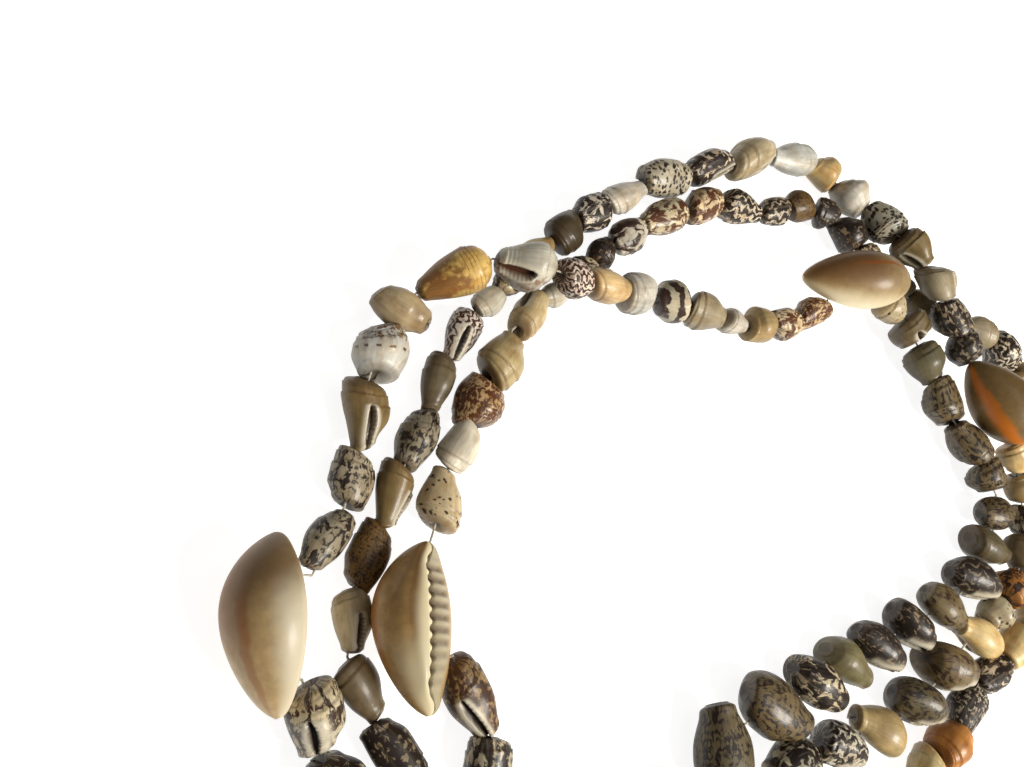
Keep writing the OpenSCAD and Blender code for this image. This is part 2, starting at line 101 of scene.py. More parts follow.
# What is strung, in order from the clasp. spire is 1 where it points back along the strand and -1
# where ahead. turn is the mouth's from straight up, and lean the shell's off the strand, both to
# the left and in degrees
Row = namedtuple("Row", "kind length girth spire turn lean finish")


def read_chart(text):
    rows = [line.split() for line in text.strip().splitlines()]
    return [Row(kind, *map(float, numbers), finish) for kind, *numbers, finish in rows]


OUTER = read_chart("""
bare 13 0 1 0 0 -
barrel 15.5 10.5 1 120 8 mottled
drop 15 11 -1 -60 -10 cream
barrel 15.5 10.5 1 180 6 speckled
dove 13.5 11.5 1 140 10 netted
dove 14 10.7 -1 20 -12 mottled
cowrie_left 19 16 1 0 0 -
dove 14.5 7.5 -1 180 -12 dashed
barrel 11.5 9 -1 160 4 dashed
drop 15.3 9.5 -1 -10 6 tan
barrel 13 11.5 -1 170 18 capped
dove 8.7 8.2 1 150 -80 shellpink
cone_golden 18.6 10.5 -1 165 0 gilded
cone_white 15 11.5 -1 -50 0 pearly
barrel 9.5 8.8 1 180 10 scribbled
barrel 11 9 1 60 0 creased
round 12.5 10.5 1 150 9 chalk
dove 11.5 11.5 -1 180 20 banded
drop 12 10.5 1 120 0 fawn
drop 8 7.5 1 90 0 chalk
barrel 9 9.5 -1 180 5 straw
barrel 10.5 9 1 150 -6 rusty
barrel 11.5 8.5 -1 120 4 reddened
cowrie_right 20 10 1 0 0 -
round 10.5 9.5 1 120 5 freckled
round 10.5 12.5 1 -30 -6 stone
drop 12.5 12 1 160 0 slate
barrel 14 11.5 1 180 -8 peppered
dove 15 12 -1 180 6 peppered
barrel 11.5 11 1 150 -5 peppered
dove 12 9.5 -1 180 -70 speckled
drop 13.5 10.4 -1 120 -68 slate
dove 15 11.5 -1 75 -50 zigzagged
dove 15 10.2 -1 150 -58 spotted
dove 14.5 10.7 -1 75 -55 sooty
dove 13.5 10.5 -1 80 -52 sooty
drop 11.5 10.2 -1 120 -50 olive
dove 13.3 11 -1 150 -50 brindled
dove 18 12.6 -1 180 -45 peppered
dove 18 12.7 -1 180 60 peppered
barrel 12.2 11 1 120 -10 mottled
""")
MIDDLE = read_chart("""
bare 13 0 1 0 0 -
barrel 16.5 10.5 1 120 6 mottled
drop 16 10.5 -1 -60 -8 cream
barrel 13.5 8.5 1 180 8 sooty
drop 13 8.5 -1 150 10 grey
drop 13 8.1 -1 -20 10 cream
barrel 13 8 -1 180 0 earthy
drop 13 8.5 -1 -60 8 tan
dove 13 8.5 -1 180 0 dashed
drop 13 7.5 -1 180 6 grey
drop 13.5 8 -1 -10 6 scribbled
barrel 8.5 6.5 1 150 -8 pearl
dove 10 7 1 180 10 mottled
drop 9.5 8 1 120 -5 straw
round 10 10 1 165 7 mossy
round 11.5 9.5 -1 150 -6 netted
drop 14 8 1 180 0 chalk
barrel 16 10 -1 160 -14 dotted
barrel 16.5 9.3 1 -70 8 netted
dove 17.5 11.5 1 -60 10 cream
drop 16.5 10 -1 180 0 chalk
round 11 10.5 -1 180 4 honey
dove 12.5 11.5 1 90 -12 ribbed
round 12 11.5 -1 150 -10 dotted
drop 11.5 11.5 1 -90 0 tan
round 11.5 11.5 1 30 -6 fawn
barrel 11.5 11.5 -1 180 8 inked
barrel 11 10.6 1 180 -3 zigzagged
cowrie_edge 28 14 1 0 0 -
drop 11 10 1 150 9 honey
barrel 10 10 -1 180 6 straw
dove 10.5 10 1 120 -8 mottled
dove 11.5 10.5 1 180 10 stone
drop 12.5 11 -1 150 -5 crusted
dove 11 10 1 180 4 freckled
drop 14 10 1 120 -50 honey
dove 17.5 12.3 -1 75 -50 spotted
dove 16.5 11.7 -1 75 -48 peppered
drop 16 10.6 1 150 -36 straw
barrel 13.5 11.5 -1 80 -25 flamed
dove 15 12 1 180 -8 brindled
barrel 15 10.6 -1 120 4 mottled
dove 16 10.5 1 150 -3 cream
""")
INNER = read_chart("""
bare 12 0 1 0 0 -
barrel 13.5 10 1 120 6 mottled
barrel 12 10 -1 180 -8 brindled
dove 17.1 9.4 -1 30 4 reticulated
cowrie_toothed 24.9 13 1 0 0 -
drop 13.5 9.5 1 180 6 freckled
barrel 10.5 9 1 150 -6 pearl
barrel 11.5 11.5 1 180 5 reddened
drop 14 11 1 160 -12 straw
barrel 12 8.5 1 60 12 creased
dove 9.5 6.3 1 120 -10 pearl
barrel 10 8 -1 180 -8 mottled
dove 8 8 1 150 10 sooty
dove 12 9 1 180 0 blotched
dove 16 9.5 -1 180 -3 rusty
barrel 13.5 10 1 90 10 rusty
drop 14.3 9.5 1 120 -10 flamed
barrel 12 8 1 180 8 flamed
barrel 10.5 9 -1 150 0 earthy
round 9.5 9 1 165 8 sooty
round 11.5 10.5 -1 150 -5 sooty
drop 12 9 1 180 -8 mottled
barrel 12 9 -1 120 10 cream
dove 12 9 1 150 -5 stone
dove 11 9 1 180 4 speckled
drop 13.5 10 -1 120 8 fawn
dove 14.5 12 1 180 -10 flamed
barrel 14.5 11 -1 150 5 honey
dove 14 11 1 180 -6 mottled
drop 14.5 11.5 1 120 9 cream
barrel 13 11 -1 180 6 speckled
dove 13.5 10.5 1 150 -8 stone
dove 14.5 11.5 -1 180 10 rusty
drop 14.5 11 1 120 -5 honey
round 14.5 11 1 180 5 honey
barrel 14.5 9 -1 150 -8 netted
barrel 14.5 9.5 1 180 0 inked
barrel 12 10.8 -1 120 -10 amber
drop 13 11 1 180 8 honey
dove 15 11 -1 150 9 mottled
dove 15 11.5 1 180 6 cream
drop 15 11 1 120 -8 speckled
dove 15 10.5 -1 180 10 flamed
barrel 15 11 1 150 -5 mottled
""")

# The cowries: middle of the base, heading, pitch and roll in degrees, length, width, height, slot
COWRIES = {
    "cowrie_left": ((-113.4, -21, 8), (88, 0, -68), (32, 18, 12.5), "cowrie_cream"),
    "cowrie_toothed": ((-86.8, -24.7, 13.4), (83, -9, -139), (32, 19, 13.5), "cowrie_cream"),
    "cowrie_right": ((48, 53, 9), (-4, 10, 8), (35, 16.5, 13), "cowrie_tan"),
    "cowrie_edge": ((102.1, 17.4, 9.5), (-54, 0, 38), (31, 18.5, 14), "cowrie_tan"),
}
# Outlines of the turned shells from spire to tip: share of the length, share of the radius
OUTLINES = {
    "dove": [(0, 0.42), (0.06, 0.6), (0.18, 0.84), (0.32, 0.98), (0.46, 1),
             (0.6, 0.95), (0.76, 0.8), (0.9, 0.62), (1, 0.48)],
    "drop": [(0, 0.5), (0.06, 0.74), (0.16, 0.93), (0.3, 1), (0.46, 0.96),
             (0.62, 0.83), (0.78, 0.66), (0.9, 0.52), (1, 0.42)],
    "barrel": [(0, 0.5), (0.06, 0.7), (0.2, 0.9), (0.36, 0.99), (0.5, 1),
               (0.64, 0.97), (0.8, 0.86), (0.92, 0.72), (1, 0.6)],
    "round": [(0, 0.45), (0.07, 0.7), (0.2, 0.92), (0.4, 1), (0.6, 0.97),
              (0.78, 0.84), (0.92, 0.66), (1, 0.52)],
    "cone_golden": [(0, 0.3), (0.06, 0.6), (0.15, 0.88), (0.27, 1), (0.5, 0.91),
                    (0.75, 0.68), (1, 0.36)],
    "cone_white": [(0, 0.36), (0.08, 0.6), (0.18, 0.88), (0.3, 1), (0.5, 0.94),
                   (0.75, 0.7), (1, 0.4)],
}
# The strands: route, chart, how high the thread's hole lies above the middle of the clasp, and the
# row where the second half starts
CLASP_LENGTH = 14
CLASP_RADIUS = 4.5
CLASP_PITCH = 2.4
STRANDS = {
    "outer": (OUTER_ROUTE, OUTER, CLASP_PITCH, 24),
    "middle": (MIDDLE_ROUTE, MIDDLE, 0, 28),
    "inner": (INNER_ROUTE, INNER, -CLASP_PITCH, 26),
}
# Bare thread beside a shell, and how a shell fills its stretch of the strand
CURVE_STEPS = 12
END_GAP = 0.15
COWRIE_GAP = 1
RIM_SHARE = 0.65
END_FILL = 0.4
LEAN_SWELL = 1.08
MOST_LEAN = 30
CROSS_LENGTH = 1.35
CORNER_SHARE = 0.5
SMALL_KINDS = ("dove", "drop", "barrel", "round")


# Places along a strand, worked out as in the part's source
def bend4(a, b, c, d, t):
    """Point at t between b and c on the smooth curve through a, b, c and d."""
    square, cube = t * t, t * t * t
    near = 2 * b + (c - a) * t + (2 * a - 5 * b + 4 * c - d) * square
    return (near + (3 * b - a - 3 * c + d) * cube) / 2


def route_curve(route):
    """The closed smooth curve through a route, and how far along it each point lies."""
    points = np.array([(*point, 0)[:3] for point in route], float)
    n = len(points)
    curve = [
        bend4(points[i - 1], points[i], points[(i + 1) % n], points[(i + 2) % n], j / CURVE_STEPS)
        for i in range(n)
        for j in range(CURVE_STEPS)
    ]
    curve = np.array(curve + [points[0]])
    steps = np.hypot(*np.diff(curve[:, :2], axis=0).T)
    return curve, np.concatenate([[0], np.cumsum(steps)])


def strand_joints(route, chart, hole):
    """Row k of the chart runs from joint k to joint k + 1."""
    curve, arc = route_curve(route)
    joints = [Vector((route[0][0] - CLASP_LENGTH / 2, route[0][1], CLASP_RADIUS + hole))]
    s = CLASP_LENGTH / 2
    for k, row in enumerate(chart):
        s += row.length
        x, y, lift = (float(np.interp(s, arc, curve[:, axis])) for axis in range(3))
        girth = max(row.girth, chart[k + 1].girth if k + 1 < len(chart) else 0)
        joints.append(Vector((x, y, girth / 2 + max(0, lift))))
    return joints


def setback(chart, joints, k):
    """Bare thread kept at joint k, so that neighbouring shells clear each other at a bend."""
    if k <= 0 or k >= len(chart):
        return END_GAP
    if chart[k - 1].kind in COWRIES or chart[k].kind in COWRIES:
        return COWRIE_GAP
    behind = (joints[k] - joints[k - 1]).normalized()
    ahead = (joints[k + 1] - joints[k]).normalized()
    bend = math.acos(min(1, behind.dot(ahead)))
    girth = max(chart[k - 1].girth, chart[k].girth)
    return END_GAP + RIM_SHARE * girth / 2 * math.tan(bend / 2)


def shell_length(room, girth, lean):
    """Length of a shell that fills a stretch of the strand, or lies across it."""
    if abs(lean) > MOST_LEAN:
        return CROSS_LENGTH * girth
    turn = math.radians(abs(lean))
    return (room - CORNER_SHARE * girth * math.sin(turn)) / math.cos(turn)


def shell_place(chart, joints, k):
    """A shell's length, its girth and the matrix from its own frame, whose +X is at the mouth and
    +Z at the tip."""
    _, _, girth, spire, turn, lean, _ = chart[k]
    swell = LEAN_SWELL if abs(lean) > MOST_LEAN else 1
    start, end = joints[k], joints[k + 1]
    way = (end - start).normalized()
    before, after = setback(chart, joints, k), setback(chart, joints, k + 1)
    room = (end - start).length - before - after
    length = shell_length(room, girth, lean)
    left = Vector((-way.y, way.x, 0)).normalized()
    up = way.cross(left)
    middle = start + way * (before + room / 2)
    lean = math.radians(lean)
    axis = (way * math.cos(lean) + left * math.sin(lean)) * spire
    left = left * math.cos(lean) - way * math.sin(lean)
    mouth = up * math.cos(math.radians(turn)) + left * math.sin(math.radians(turn))
    matrix = Matrix((mouth, axis.cross(mouth), axis)).transposed().to_4x4()
    length = length * swell + 2 * END_FILL
    return length, girth * swell, Matrix.Translation(middle - axis * length / 2) @ matrix


# Small shells: a flat grid of vertices is wrapped round the axis, and t runs from 0 at the spire to
# 1 at the tip. Heights are shares of the radius. A pair is where a change along t starts and ends.
AROUND = 48
ALONG = 56
CROWDING = 0.75
# Ends: the outline's power of t and its spread, then how strong each effect is and how far it goes
OUTLINE_POWER = 0.88
OUTLINE_SPREAD = 0.26
BLUNT_ENDS = 0.1
BLUNT_SPIRE = 0.13
BLUNT_TIP = 0.1
SPIRE_ROUNDING = 0.38
SPIRE_REACH = 0.035
TIP_ROUNDING = 0.34
TIP_REACH = 0.03
# Suture: the spiral seam between the whorls, with a ledge below it and a tuck above it
SUTURE_AT = 0.3
SUTURE_SPREAD = 0.16
SUTURE_FADE = 0.06
WHORL_RATIO = 0.46
APEX = 0.004
STEP_STARTS = (0.02, 0.14)
LEDGE = 0.05
LEDGE_REACH = 0.3
TUCK = 0.035
TUCK_REACH = 0.25
CREASE_BELOW = 0.035
CREASE_ABOVE = 0.1
SPIRE_CREASE = 0.05
TIP_CREASE = 0.04
TIP_CREASE_SHARE = 0.9
# Mouth: a slit between two lips. Widths of lips and teeth are in millimetres
MOUTH_START = 0.38
MOUTH_SPAN = 0.64
MOUTH_MIDDLE = 0.68
MOUTH_HALF = 0.085
MOUTH_DEPTH = 0.42
MOUTH_SLANT = 0.3
MOUTH_SKEW = 0.85
MOUTH_FULLNESS = 0.6
MOUTH_LEAST = 0.05
MOUTH_FADE = 0.25
HOLLOW_EDGE = (0.75, 1.05)
LIP_PLACE = 0.5
LIP_HALF = 0.6
LIP_RISE = 0.06
INNER_LIP_SHARE = 0.4
TEETH = 10
TOOTH_HALF = 0.42
GAP_HALF = 0.4
GAP_SHADE = 0.7
TOOTH_RISE = 0.035
# Uneven body, a belly, and a flare beside the mouth. Ways round the axis are in radians
TWO_LUMPS = 0.035
THREE_LUMPS = 0.025
END_LUMPS = 0.03
BELLY = 0.03
BELLY_WAY = 0.6
FLARE = 0.1
FLARE_WAY = 1.2
FLARE_HALF = 0.8
FLARE_AT = 0.64
FLARE_REACH = 0.2
# Ribs along the shell, and cords round it
RIDGE_RISE = 0.02
RIBS = 24
RIB_TWIST = 5
RIB_STARTS = (0.1, 0.3)
CORDS = 15
CORD_STARTS = (0.55, 0.9)
TIP_CORD_STARTS = (0.82, 0.95)
# The whole shell: depth of its ends in millimetres, slanted ends, bowed axis, flatness
DIMPLE = 0.9
SLANT = 0.3
SLANT_LEAST = 0.6
SLANT_SPREAD = 0.8
BOW = 0.05
FLATNESS = 0.9
FULL_TURN = 6.3


def smooth_step(low, high, value):
    share = np.clip((value - low) / (high - low), 0, 1)
    return share * share * (3 - 2 * share)


def bell(value, width):
    return np.exp(-((value / width) ** 2))


def outline_radius(kind, t):
    """The outline's share of the radius at each t, on a smooth curve through its points."""
    table = np.array(OUTLINES[kind], float)
    padded = np.vstack([2 * table[0] - table[1], table, 2 * table[-1] - table[-2]])
    i = np.clip(np.searchsorted(table[:, 0], t, "right") - 1, 0, len(table) - 2)
    share = (t - table[i, 0]) / (table[i + 1, 0] - table[i, 0])
    return bend4(padded[i, 1], padded[i + 1, 1], padded[i + 2, 1], padded[i + 3, 1], share)


def whorl_steps(angle, t, seed, finish):
    """Factor on the radius for the steps at the suture, and the share of crease there and at both
    ends, which the finish paints as shade with some grime.
    """
    turn = angle / (2 * math.pi)
    suture_at = SUTURE_AT + SUTURE_SPREAD * draw(seed, "suture")
    below = t - suture_at * WHORL_RATIO**turn
    whorl = np.log(np.maximum(t, APEX) / suture_at) / math.log(WHORL_RATIO) - turn
    share = whorl - np.floor(whorl)
    under = np.where(below > 0, -whorl, 1 - share)
    over = np.where(below > 0, 0, smooth_step(0, SUTURE_FADE, turn))
    step = finish["step"] * smooth_step(*STEP_STARTS, t)
    ledge = LEDGE * np.exp(-under / LEDGE_REACH)
    crease = np.maximum(bell(under, CREASE_BELOW), over * bell(share, CREASE_ABOVE)) * step
    # Crease at both ends, where the shells meet: painted shade
    ends = np.maximum(bell(t, SPIRE_CREASE), TIP_CREASE_SHARE * bell(1 - t, TIP_CREASE))
    factor = 1 + step * (ledge - TUCK * over * np.exp(-share / TUCK_REACH))
    return factor, np.maximum(crease, ends)


def mouth_zones(signed, t, r, girth, finish):
    """Shares of outer lip, inner lip, hollow, teeth and the gaps between them, round the mouth."""
    place = np.clip((t - MOUTH_START) / MOUTH_SPAN, 0, 1)
    opening = np.sin(math.pi * place**MOUTH_SKEW) ** MOUTH_FULLNESS
    half = MOUTH_HALF * girth * opening * finish["mouth"]
    across = (signed - MOUTH_SLANT * (t - MOUTH_MIDDLE)) * r * (girth / 2)
    near = np.where(opening > MOUTH_LEAST, smooth_step(0, MOUTH_FADE, opening), 0)
    tooth = 0.5 + 0.5 * np.cos(2 * math.pi * TEETH * place)
    edge = across - half
    hollow = near * (1 - smooth_step(*HOLLOW_EDGE, np.abs(across) / np.maximum(half, TINY)))
    outer_lip = near * bell(edge - LIP_PLACE * finish["lip"], LIP_HALF * finish["lip"])
    inner_lip = near * bell(across + half + LIP_PLACE, LIP_HALF)
    teeth = near * bell(edge, TOOTH_HALF) * tooth
    gaps = near * bell(edge, GAP_HALF) * (1 - tooth)
    return outer_lip, inner_lip, hollow, teeth, gaps


def body_lumps(angle, signed, t, seed, finish):
    """Swellings of the body, each turned by the seed, and the flare of the last whorl."""
    lumps = TWO_LUMPS * np.sin(2 * angle + seed) + THREE_LUMPS * np.cos(3 * angle + 2.3 * seed)
    lumps = (lumps - BELLY * np.cos(angle + BELLY_WAY)) * np.sin(math.pi * t)
    lumps = lumps + END_LUMPS * np.sin(angle + 1.7 * seed) * np.sin(2 * math.pi * t)
    flare = bell(signed - FLARE_WAY, FLARE_HALF) * bell(t - FLARE_AT, FLARE_REACH)
    return lumps + finish["blunt"] * FLARE * flare


def shell_form(u, v, kind, length, girth, seed, finish):
    """Places in the shell's own frame in millimetres, UV, and shares of lip, hollow and crease."""
    angle = 2 * math.pi * u - CROWDING * np.sin(2 * math.pi * u)
    signed = np.where(angle > math.pi, angle - 2 * math.pi, angle)
    turn = angle / (2 * math.pi)
    row = v * ALONG
    first, last = row < 0.5, row > ALONG - 0.5
    # Rows lie half evenly and half by a cosine, so they are closer at the ends
    even = np.clip((row - 1) / (ALONG - 2), 0, 1)
    t = 0.5 * even + 0.25 * (1 - np.cos(math.pi * even))
    power = OUTLINE_POWER + OUTLINE_SPREAD * draw(seed, "outline")
    r = outline_radius(kind, t**power)
    r = r + finish["blunt"] * BLUNT_ENDS * (bell(t, BLUNT_SPIRE) + bell(1 - t, BLUNT_TIP))
    spire = SPIRE_ROUNDING * bell(t, SPIRE_REACH)
    r = r * (1 - spire - TIP_ROUNDING * bell(1 - t, TIP_REACH))
    steps, crease = whorl_steps(angle, t, seed, finish)
    r = r * steps
    outer_lip, inner_lip, hollow, teeth, gaps = mouth_zones(signed, t, r, girth, finish)
    r = r + LIP_RISE * outer_lip + INNER_LIP_SHARE * LIP_RISE * inner_lip
    r = (r + TOOTH_RISE * (teeth - gaps)) * (1 - MOUTH_DEPTH * hollow)
    r = r * (1 + body_lumps(angle, signed, t, seed, finish))
    ribs = np.cos(RIBS * angle + RIB_TWIST * t) * smooth_step(*RIB_STARTS, t)
    r = r + finish["ribs"] * RIDGE_RISE * ribs * (1 - hollow)
    cords = finish["cords"] * smooth_step(*CORD_STARTS, t)
    cords = cords + finish["tip_cords"] * smooth_step(*TIP_CORD_STARTS, t)
    r = r + RIDGE_RISE * cords * np.cos(2 * math.pi * (CORDS * t - turn)) * (1 - hollow)

    r = np.where(first | last, 0, r * (girth / 2))
    z = np.where(first, DIMPLE, np.where(last, length - DIMPLE, t * length))
    slant = SLANT * finish["blunt"] * r * (SLANT_LEAST + SLANT_SPREAD * draw(seed, "slant"))
    spire_way, tip_way, bow_way = (FULL_TURN * draw(seed, end) for end in ("spire", "tip", "bow"))
    z = z + slant * np.cos(angle - spire_way) * (1 - smooth_step(0, 0.5, t))
    z = z + slant * np.cos(angle - tip_way) * smooth_step(0.5, 1, t)
    bow = BOW * finish["blunt"] * girth * np.sin(math.pi * t) ** 2
    x = FLATNESS * r * np.cos(angle) + bow * math.cos(bow_way)
    y = bow * math.sin(bow_way) - r * np.sin(angle)
    # The drilled ends and the gaps between teeth join the hollow, which the finish paints dark as
    # shade
    hollow = np.maximum(np.where(first | last, 1, hollow), GAP_SHADE * gaps)
    lip = np.clip(outer_lip * 1.2 + inner_lip, 0, 1)
    zones = np.stack([lip, hollow, crease], axis=-1)
    return np.stack([x, y, z], axis=-1), np.stack([turn, t], axis=-1), zones


# Colours as they look in daylight, 0 to 255
CHALK = (212, 208, 196)
TAN = (126, 106, 66)
STONE = (116, 101, 70)
AMBER = (196, 134, 62)
BARK = (52, 31, 22)
INK = (32, 21, 16)
LOAM = (104, 76, 46)
PEARL = (216, 208, 188)
STAIN = (215, 184, 140)

LIP_WHITE = (214, 204, 182)
LIP_CREAM = (244, 228, 186)
LIP_GREY = (186, 172, 138)
# Painted shade in mouths, slits and drilled ends: dark brown in the cowries, a darkened mark colour
# in the small shells
MOUTH_SHADE_BROWN = (30, 19, 12)
MOUTH_SHADE = 0.4
# Painted shade, with some grime, in the suture creases and shell ends, and in the cowries' grooves
CREASE_SHADE_BROWN = (84, 58, 34)

# Finishes of the small shells: pattern, ground, mark, size of the marks, how much they cover
FINISHES = {
    "chalk": ("glaze", CHALK, STONE, 1, 0.4),
    "pearl": ("glaze", PEARL, TAN, 1, 0.3),
    "cream": ("glaze", (192, 176, 140), LOAM, 1, 0.35),
    "shellpink": ("glaze", (190, 168, 130), LOAM, 1, 0.4),
    "straw": ("glaze", (190, 168, 120), LOAM, 1, 0.4),
    "tan": ("glaze", TAN, LOAM, 1, 0.4),
    "fawn": ("glaze", (156, 145, 118), LOAM, 1, 0.35),
    "olive": ("glaze", (122, 112, 76), LOAM, 1, 0.25),
    "mossy": ("glaze", (76, 64, 40), BARK, 1, 0.5),
    "stone": ("glaze", STONE, LOAM, 1, 0.4),
    "grey": ("glaze", (114, 101, 76), BARK, 1, 0.4),
    "slate": ("glaze", (92, 84, 58), LOAM, 1, 0.35),
    "honey": ("glaze", (226, 200, 142), AMBER, 1, 0.5),
    "amber": ("glaze", AMBER, BARK, 1, 0.5),
    "ribbed": ("glaze", CHALK, STONE, 1, 0.4),
    "creased": ("glaze", (226, 198, 146), (104, 64, 38), 1, 0.5),
    "freckled": ("dots", (186, 170, 136), BARK, 1.1, 0.30),
    "dotted": ("dots", (190, 184, 164), INK, 0.9, 0.46),
    "peppered": ("mottling", STONE, INK, 0.62, 0.46),
    "dashed": ("mottling", (152, 142, 120), INK, 0.7, 0.48),
    "speckled": ("mottling", STONE, INK, 0.7, 0.5),
    "spotted": ("mottling", (122, 105, 70), BARK, 0.8, 0.34),
    "mottled": ("mottling", (206, 190, 156), BARK, 0.9, 0.58),
    "netted": ("mottling", (224, 208, 184), INK, 0.9, 0.74),
    "brindled": ("mottling", (204, 188, 156), INK, 1.0, 0.7),
    "reticulated": ("mottling", (164, 138, 96), (62, 38, 22), 0.55, 0.66),
    "reddened": ("mottling", (204, 170, 122), (84, 44, 20), 0.5, 0.62),
    "earthy": ("mottling", (108, 82, 40), BARK, 0.3, 0.4),
    "crusted": ("mottling", AMBER, BARK, 0.8, 0.5),
    "inked": ("mottling", (190, 174, 146), INK, 0.6, 0.72),
    "sooty": ("mottling", (150, 132, 104), INK, 0.6, 0.82),
    "blotched": ("mottling", (222, 214, 196), BARK, 1.2, 0.6),
    "rusty": ("mottling", (222, 202, 164), (86, 48, 26), 0.9, 0.58),
    "scribbled": ("flames", (226, 206, 190), BARK, 0.7, 0.5),
    "flamed": ("flames", (214, 202, 178), INK, 1.1, 0.66),
    "zigzagged": ("flames", (138, 126, 104), INK, 1.2, 0.82),
    "banded": ("bands", (208, 194, 164), BARK, 1.3, 0.5),
    "capped": ("caps", CHALK, LOAM, 1, 0.5),
    "gilded": ("gilding", (248, 202, 112), (104, 54, 22), 1, 0.4),
    "pearly": ("pearling", PEARL, (124, 78, 44), 1, 0.3),
}
# How each finish's shells differ from a plain one. A lip is wider or narrower by its factor
SCULPTURE = {
    "ribbed": {"ribs": 1},
    "straw": {"cords": 0.2},
    "gilded": {"mouth": 0.5, "tip_cords": 0, "blunt": 0.4},
    "pearly": {"mouth": 1.3, "cords": 0.6, "blunt": 0.6},
}
WIDE_LIPPED = "inked sooty flamed zigzagged brindled spotted peppered mottled"
SCULPTURE |= {name: {"lip": 2.2} for name in WIDE_LIPPED.split()}
SMOOTH = {"step": 0.12, "tip_cords": 0}
PLAIN = {"step": 1, "ribs": 0, "cords": 0, "tip_cords": 0.07, "mouth": 1, "blunt": 1, "lip": 1}
SHADE_SPREAD = 0.14
WARMTH_SPREAD = 0.07
OFFSET_SPREAD = 100
WELD = 1e-5
LAYERS = ("place", "zone", "size")
# Painted shade: shells are painted darker where they face down, standing in for the shade on their
# sides and undersides: the normal's z where the change starts and ends, and the painted shade
# below it
PAINTED_SHADE_RANGE = (-0.3, 0.6)
COWRIE_PAINTED_SHADE_RANGE = (-1.6, -0.2)
PAINTED_UNDERSIDE_SHADE = 0.45


def linear(colour):
    """A daylight colour of 0 to 255 as Blender's linear 0 to 1."""
    shares = [part / 255 for part in colour]
    return [x / 12.92 if x <= 0.04045 else ((x + 0.055) / 1.055) ** 2.4 for x in shares]


def paint(colour):
    return (*linear(colour), 1)


# A shell's own values, and the large factors that scatter them
DRAWS = "shade warmth x y z outline suture slant spire tip bow".split()
SEED_FACTOR = 12.9898
NAME_FACTOR = 78.233
SCATTER_FACTOR = 43758.5453


def draw(seed, name):
    """A shell's own value from 0 to 1 that looks random."""
    number = DRAWS.index(name) + 1
    return math.sin(seed * SEED_FACTOR + number * NAME_FACTOR) * SCATTER_FACTOR % 1


def new_mesh_layers(bm):
    layers = {name: bm.verts.layers.float_vector.new(name) for name in LAYERS}
    layers |= {name: bm.verts.layers.float_color.new(name) for name in ("ground", "mark")}
    layers["uv"] = bm.loops.layers.uv.new("UVMap")
    return layers


def wrapped_grid(bm, layers, around, along, shape):
    """Adds a closed form: a flat grid whose vertices shape() places from their u and v, with its
    own UV and zones. Returns the new vertices and faces."""
    old = set(bm.faces)
    made = bmesh.ops.create_grid(bm, x_segments=around, y_segments=along, size=0.5)["verts"]
    u, v = (np.array([vert.co[axis] for vert in made]) + 0.5 for axis in (0, 1))
    co, uv, zone = shape(u, v)
    by_vert = {}
    for i, vert in enumerate(made):
        vert.co = co[i]
        vert[layers["place"]] = co[i]
        vert[layers["zone"]] = zone[i]
        by_vert[vert] = uv[i]
    faces = [face for face in bm.faces if face not in old]
    for face in faces:
        face.smooth = True
        for loop in face.loops:
            loop[layers["uv"]].uv = by_vert[loop.vert]
    return made, faces


def close_form(bm, verts):
    """Welds the seam and the poles of a wrapped grid, and points its faces outwards."""
    keep = {face for vert in verts for face in vert.link_faces}
    bmesh.ops.remove_doubles(bm, verts=verts, dist=WELD)
    faces = [face for face in keep if face.is_valid]
    bmesh.ops.recalc_face_normals(bm, faces=faces)


def lay_down_with_painted_shade(bm, layers, verts, matrix, underside=PAINTED_SHADE_RANGE):
    """Moves a closed form to its place, and paints shade on the sides and the underside it lies on.
    """
    verts = [vert for vert in verts if vert.is_valid]
    bmesh.ops.transform(bm, matrix=matrix, verts=verts)
    bm.normal_update()
    for vert in verts:
        # Painted shade, kept in the ground colour's alpha: darker as the normal turns down
        share = float(smooth_step(*underside, vert.normal.z))
        vert[layers["ground"]].w = PAINTED_UNDERSIDE_SHADE + (1 - PAINTED_UNDERSIDE_SHADE) * share


def add_shell(bm, layers, slots, chart, joints, k):
    kind, finish_name = chart[k].kind, chart[k].finish
    pattern, ground, mark, scale, cover = FINISHES[finish_name]
    finish = PLAIN | SCULPTURE.get(finish_name, {})
    if abs(chart[k].lean) > MOST_LEAN:
        finish |= SMOOTH
    length, girth, matrix = shell_place(chart, joints, k)
    seed = len(chart) + k

    def shape(u, v):
        return shell_form(u, v, kind, length, girth, seed, finish)

    verts, faces = wrapped_grid(bm, layers, AROUND, ALONG, shape)
    shade = 1 + SHADE_SPREAD * (2 * draw(seed, "shade") - 1)
    warmth = 1 + WARMTH_SPREAD * (2 * draw(seed, "warmth") - 1)
    tint = Vector((shade * warmth, shade, shade / warmth))
    offset = Vector([draw(seed, axis) for axis in "xyz"]) * OFFSET_SPREAD
    size = Vector((girth * math.pi, length, scale))
    ground_colour = [a * b for a, b in zip(linear(ground), tint)] + [1]
    mark_colour = linear(mark) + [cover]
    for vert in verts:
        vert[layers["place"]] = vert[layers["place"]] + offset
        vert[layers["size"]] = size
        vert[layers["ground"]] = ground_colour
        vert[layers["mark"]] = mark_colour
    for face in faces:
        face.material_index = slots[pattern]
    close_form(bm, verts)
    lay_down_with_painted_shade(bm, layers, verts, matrix)


